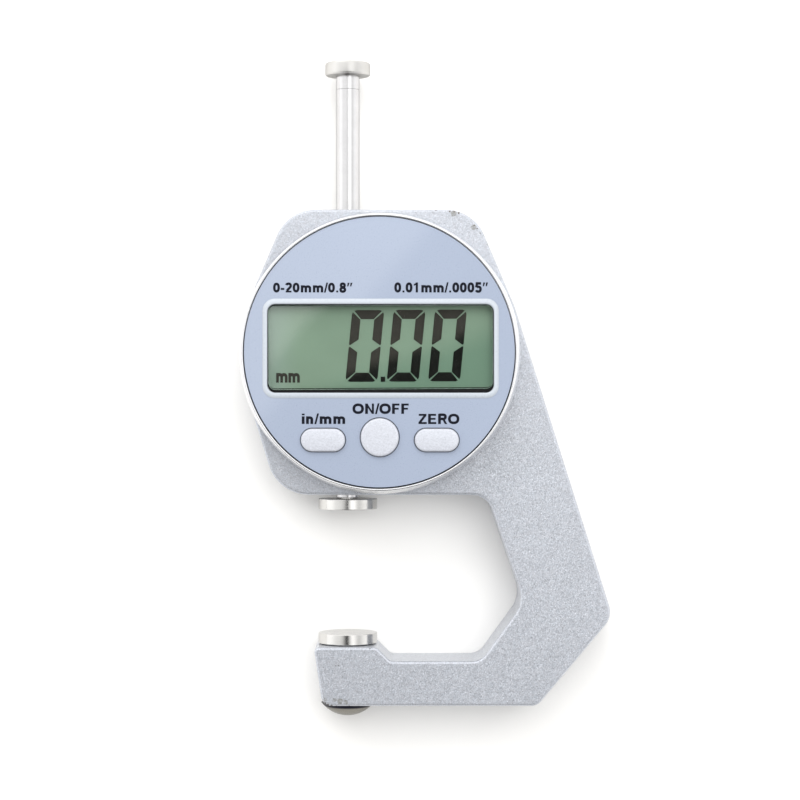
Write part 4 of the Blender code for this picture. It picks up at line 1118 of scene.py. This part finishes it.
def build_rear_cover(shader):
    plate_edge = 0.15
    profile = [(0, COVER_LOW), *edge_arc(plate_edge, COVER_R - plate_edge, COVER_LOW + plate_edge, -90, 0)]
    profile += [(COVER_R, COVER_HIGH), (0, COVER_HIGH)]
    made = mesh_object("back_plate", turned(profile, 192), HEAD)
    notch_half = LUG_WIDTH / 2 + GAP
    reach = LUG_R + GAP
    notch = block((-reach, -notch_half, CAP_SEAT_Z - 0.5), (reach, notch_half, COLLAR_HIGH + 1))
    tools = [
        ("UNION", cylinder(COLLAR_R, COVER_LOW + 0.5, COLLAR_HIGH, steps=128), CELL, FLAT),
        ("DIFFERENCE", cylinder(SPIGOT_R + GAP, COVER_LOW - 1, COLLAR_HIGH + 1, steps=96), CELL, FLAT),
        ("DIFFERENCE", cylinder(CAP_R + GAP, COVER_LOW - 1, CAP_SEAT_Z, steps=128), CELL, FLAT),
        ("DIFFERENCE", notch, CELL, (0.0, 0.0, math.radians(-45))),
    ]
    for x, y in round_places(COVER_SCREW_CIRCLE, COVER_SCREW_ANGLES):
        sink = screw_sink(COVER_SCREW_R, COVER_SCREW_HEAD, -2.3, 48)
        tools.append(("DIFFERENCE", sink, (x, y, COVER_LOW), FACING_BACK))
    groove = ((COVER_R - 0.9, -1), (COVER_R - 0.9, 0.18), (COVER_R - 1.25, 0.18), (COVER_R - 1.25, -1))
    tools.append(("DIFFERENCE", turned(groove, 192), (HEAD_X, HEAD_Y, COVER_LOW), FLAT))
    cut(made, tools)
    piece(made, "gauge", "grey_plastic", shader, "rear_cover")


def build_battery_cap(shader):
    edge = 0.12
    profile = [(0, COVER_LOW), *edge_arc(edge, CAP_R - edge, COVER_LOW + edge, -90, 0)]
    profile += [(CAP_R, CAP_SHELF), (SPIGOT_R, CAP_SHELF), (SPIGOT_R, CAP_HIGH), (0, CAP_HIGH)]
    made = mesh_object("cell_cap", turned(profile, 128), CELL)
    half = LUG_WIDTH / 2
    lugs = block((-LUG_R, -half, LUG_LOW), (LUG_R, half, CAP_HIGH - 0.05))
    slot_outline = rectangle((9.6, 1.8), 0.5)
    slot = loft([
        at_height(rectangle((9.9, 2.1), 0.65), COVER_LOW - 0.5),
        at_height(rectangle((9.7, 1.9), 0.55), COVER_LOW + 0.05),
        at_height(slot_outline, COVER_LOW + 0.15),
        at_height(slot_outline, COVER_LOW + 1.0),
    ])
    ring = ((CAP_R - 0.7, -1), (CAP_R - 0.7, 0.15), (CAP_R - 0.95, 0.15), (CAP_R - 0.95, -1))
    arrow = prism([(-0.75, -0.6), (0.75, -0.6), (0.0, 0.7)], COVER_LOW - 1, COVER_LOW + 0.15)
    tools = [
        ("UNION", lugs, CELL, FLAT),
        ("DIFFERENCE", slot, CELL, FLAT),
        ("DIFFERENCE", turned(ring, 128), (CELL_X, CELL_Y, COVER_LOW), FLAT),
        ("DIFFERENCE", arrow, (CELL_X, CELL_Y + 4.2, 0.0), FLAT),
    ]
    cut(made, tools)
    piece(made, "battery_cap", "grey_plastic", shader, "battery_cap")


def finish_cad_nodes(shaders):
    """Gives every CAD node that stays visible a procedural material."""
    kinds = {
        "battery": "cell",
        "battery_cap_seal": "rubber",
        "battery_holder": "dark_plastic",
        "battery_negative_contact": "gold",
        "battery_positive_contact": "gold",
        "carrier": "aluminium",
        "controller_chip": "chip",
        "display_holder": "white_plastic",
        "display_panel": "display",
        "drag_ring": "rubber",
        "keypad": "rubber",
        "main_board": "board",
        "scale_strip": "scale",
        "zebra_strip_lower": "zebra",
        "zebra_strip_upper": "zebra",
    }
    for name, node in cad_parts.items():
        if node.hide_render:
            continue
        node.data.materials.clear()
        node.data.materials.append(shaders[kinds.get(name, "screw")])


# Camera, floor and light

SKY = 1.18  # brightness of the tent in reflections
FILL = 0.84  # brightness of the tent as a lamp
DARKEST = 0.03  # of the tent overhead
OVERHEAD_PATCHES = (  # x, y, half width and half height as parts of a direction, and how much brighter
    (-0.04, -0.24, 0.26, 0.18, -1.3),
    (-0.04, 0.13, 0.13, 0.05, -0.35),
    (-0.03, -0.06, 0.13, 0.06, -0.5),
    (0.0, -0.5, 0.6, 0.34, -0.8),
    (0.34, 0.10, 0.24, 0.32, 1.0),
)
SIDE_PATCHES = (
    (0.75, -0.10, 0.28, 0.5, -0.35),
    (-0.30, 0.62, 0.45, 0.35, 0.6),
    (0.0, -1.0, 0.75, 0.42, -0.85),
)
PANELS = (  # name, place in metres, size in metres, watts
    ("top_panel", (-0.12, 0.32, 0.30), (0.42, 0.24), 0.8),
    ("overhead_panel", (0.06, 0.12, 0.40), (0.42, 0.34), 1.4),
)
CAMERA_PLACE, CAMERA_LENS = (8.88, 39.5, 366.0), 96.75  # a place in the gauge's frame, and both in millimetres
FLOOR_HALF, FLOOR_DROP = 3.0, 0.00002  # metres


def look_from_above():
    """The camera looks straight down, a little right of the spindle, as for a catalogue picture."""
    data = bpy.data.cameras.new("camera")
    data.lens, data.sensor_width = CAMERA_LENS, 36.0
    data.clip_start, data.clip_end = 0.01, 20.0
    camera = add_object("camera", data)
    camera.location = ORIGIN + Vector(CAMERA_PLACE) * MM
    bpy.context.scene.camera = camera


def build_floor():
    mesh = bpy.data.meshes.new("floor")
    bm = bmesh.new()
    corners = ((-1, -1), (1, -1), (1, 1), (-1, 1))
    bm.faces.new([bm.verts.new((x * FLOOR_HALF, y * FLOOR_HALF, 0)) for x, y in corners])
    bm.to_mesh(mesh)
    bm.free()
    floor = add_object("floor", mesh)
    floor.location.z = cad_box[0].z - FLOOR_DROP
    s = Shader("floor_paper", (0.85, 0.841, 0.823), 0.7)
    s.set("Base Color", s.mix(s.noise(30.0, 2.0), (0.845, 0.836, 0.818), (0.855, 0.846, 0.828)))
    mesh.materials.append(s.material)


def build_world():
    """A bright tent, darker round the camera overhead, with the edge of a soft box beside it.

    Every direction is given by its x and y parts, which are what a face that lies flat sends to the camera.
    """
    world = bpy.data.worlds.new("tent")
    bpy.context.scene.world = world
    world.use_nodes = True
    world.cycles.sampling_method = "NONE"
    sky = Graph(world.node_tree)
    maths = sky.maths

    def step(value, low, high, to_low=0.0, to_high=1.0):
        return sky.fit(value, low, high, to_low, to_high, smoothly=True)

    def lobe(x, y, wide, high):
        """1 in the middle of a soft round patch of the sky, and 0 well outside it."""
        across = maths("POWER", maths("ABSOLUTE", maths("MULTIPLY_ADD", way_x, 1 / wide, -x / wide)), 2.0)
        up = maths("POWER", maths("ABSOLUTE", maths("MULTIPLY_ADD", way_y, 1 / high, -y / high)), 2.0)
        return maths("MULTIPLY", above, maths("EXPONENT", maths("MULTIPLY", maths("ADD", across, up), -1.0)))

    way = sky.node("TexCoord", "Generated")
    way_x, way_y, way_z = (sky.part(way, axis) for axis in range(3))
    above = step(way_z, 0.0, 0.1)
    light = maths("ADD", step(way_z, 0.75, 0.4, 0.0, 0.35), SKY)
    for *patch, strength in OVERHEAD_PATCHES:
        light = maths("MULTIPLY_ADD", lobe(*patch), strength, light)
    light = maths("MAXIMUM", light, DARKEST)
    for *patch, strength in SIDE_PATCHES:
        light = maths("MULTIPLY_ADD", lobe(*patch), strength, light)
    window = maths("MULTIPLY", step(maths("ABSOLUTE", maths("ADD", way_x, 0.010)), 0.072, 0.066), above)
    window = maths("MULTIPLY", window, step(maths("ABSOLUTE", maths("SUBTRACT", way_y, 0.015)), 0.086, 0.078))
    beside = maths("MULTIPLY_ADD", way_x, -0.753, maths("MULTIPLY", way_y, 0.658))
    seen = step(beside, 0.037, 0.048, 0.08, 1.4)
    shine = maths("ADD", maths("MULTIPLY", light, maths("SUBTRACT", 1.0, window)), maths("MULTIPLY", seen, window))
    glossy = sky.node("LightPath", "Is Glossy Ray")
    fill = maths("MULTIPLY", FILL, maths("SUBTRACT", 1.0, glossy))
    background = sky.tree.nodes["Background"]
    sky.put(background.inputs["Strength"], maths("ADD", maths("MULTIPLY", shine, glossy), fill))
    sky.put(background.inputs["Color"], (1.0, 1.0, 1.0))


def build_lights():
    """Soft panels that light the object and its floor; the tent alone is seen in its polished parts."""
    for name, place, (width, height), watts in PANELS:
        data = bpy.data.lights.new(name, "AREA")
        data.shape, data.size, data.size_y, data.energy = "RECTANGLE", width, height, watts
        panel = add_object(name, data)
        panel.location = place
        panel.rotation_euler = (-Vector(place)).to_track_quat("-Z", "Y").to_euler()
        panel.visible_glossy = panel.visible_transmission = False


def main():
    shaders = {
        "bezel": moulded("bezel_plastic", (0.43, 0.465, 0.508), 0.3, 3000.0, 0.000003, 0.02, Coat_Weight=0.3),
        "glass": window_glass(),
        "rubber": rubber(),
        "display": display_film(),
        "segment": segment_ink(),
        "ink": label_ink(),
        "cell": steel("cell_steel_skin", (0.72, 0.72, 0.7)),
        "dark_plastic": moulded("cup_plastic", (0.07, 0.07, 0.075), 0.45),
        "white_plastic": moulded("holder_plastic", (0.7, 0.7, 0.67), 0.5),
        "gold": steel("gold_plate_skin", (0.83, 0.62, 0.26)),
        "aluminium": steel("milled_aluminium", (0.74, 0.74, 0.75), (0.28, 0.42), 0.0003),
        "chip": moulded("chip_epoxy", (0.03, 0.03, 0.032), 0.55),
        "board": board_lacquer(),
        "scale": lined("scale_copper", (0.75, 0.5, 0.22), (0.03, 0.12, 0.06), 1500.0, 0.3, 0.5),
        "zebra": lined("zebra_rubber", (0.05, 0.05, 0.05), (0.45, 0.42, 0.35), 2500.0, 0.6),
        "screw": steel("screw_steel", (0.6, 0.59, 0.57), (0.22, 0.34)),
    }
    polished = steel("polished_steel_skin")
    build_frame()
    build_anvil(polished)
    # The nut is painted almost black near its base against the boss: painted shade in the seam between them.
    nut_base = (FOOT_BOTTOM - SEAM) * MM
    seam_shade = (nut_base - 0.00075, nut_base - 0.0005)
    # The nut's steel is darker than the other polished steel: a painted shade for the darker surroundings that its
    # dome reflects.
    build_anvil_nut(steel("nut_steel", (0.235, 0.225, 0.2), (0.22, 0.32), seam_shade=seam_shade))
    ground = steel("ground_steel", (0.69, 0.685, 0.69), (0.14, 0.24), 0.00008, rim=0.5)
    build_contact(polished)
    build_spindle(ground)
    build_knob(steel("knob_steel", (0.66, 0.65, 0.63), (0.30, 0.40), rim=0.5), ground)
    build_bushes(steel("bush_bronze", (0.58, 0.40, 0.2), (0.25, 0.4)))
    build_head_case(ring_metal())
    build_face_plate(plate_print())
    build_window(shaders)
    build_digits(shaders["segment"])
    build_labels(shaders)
    build_buttons(button_paint())
    build_rear_cover(moulded("cover_plastic", (0.19, 0.19, 0.2), 0.5, 1500.0, 0.00002, 0.08))
    build_cover_screws(shaders["screw"])
    build_battery_cap(moulded("cap_plastic", (0.17, 0.17, 0.18), 0.5, 1500.0, 0.00002, 0.08))
    finish_cad_nodes(shaders)
    look_from_above()
    build_floor()
    build_world()
    build_lights()
    bpy.context.scene.view_settings.view_transform = "Standard"


main()
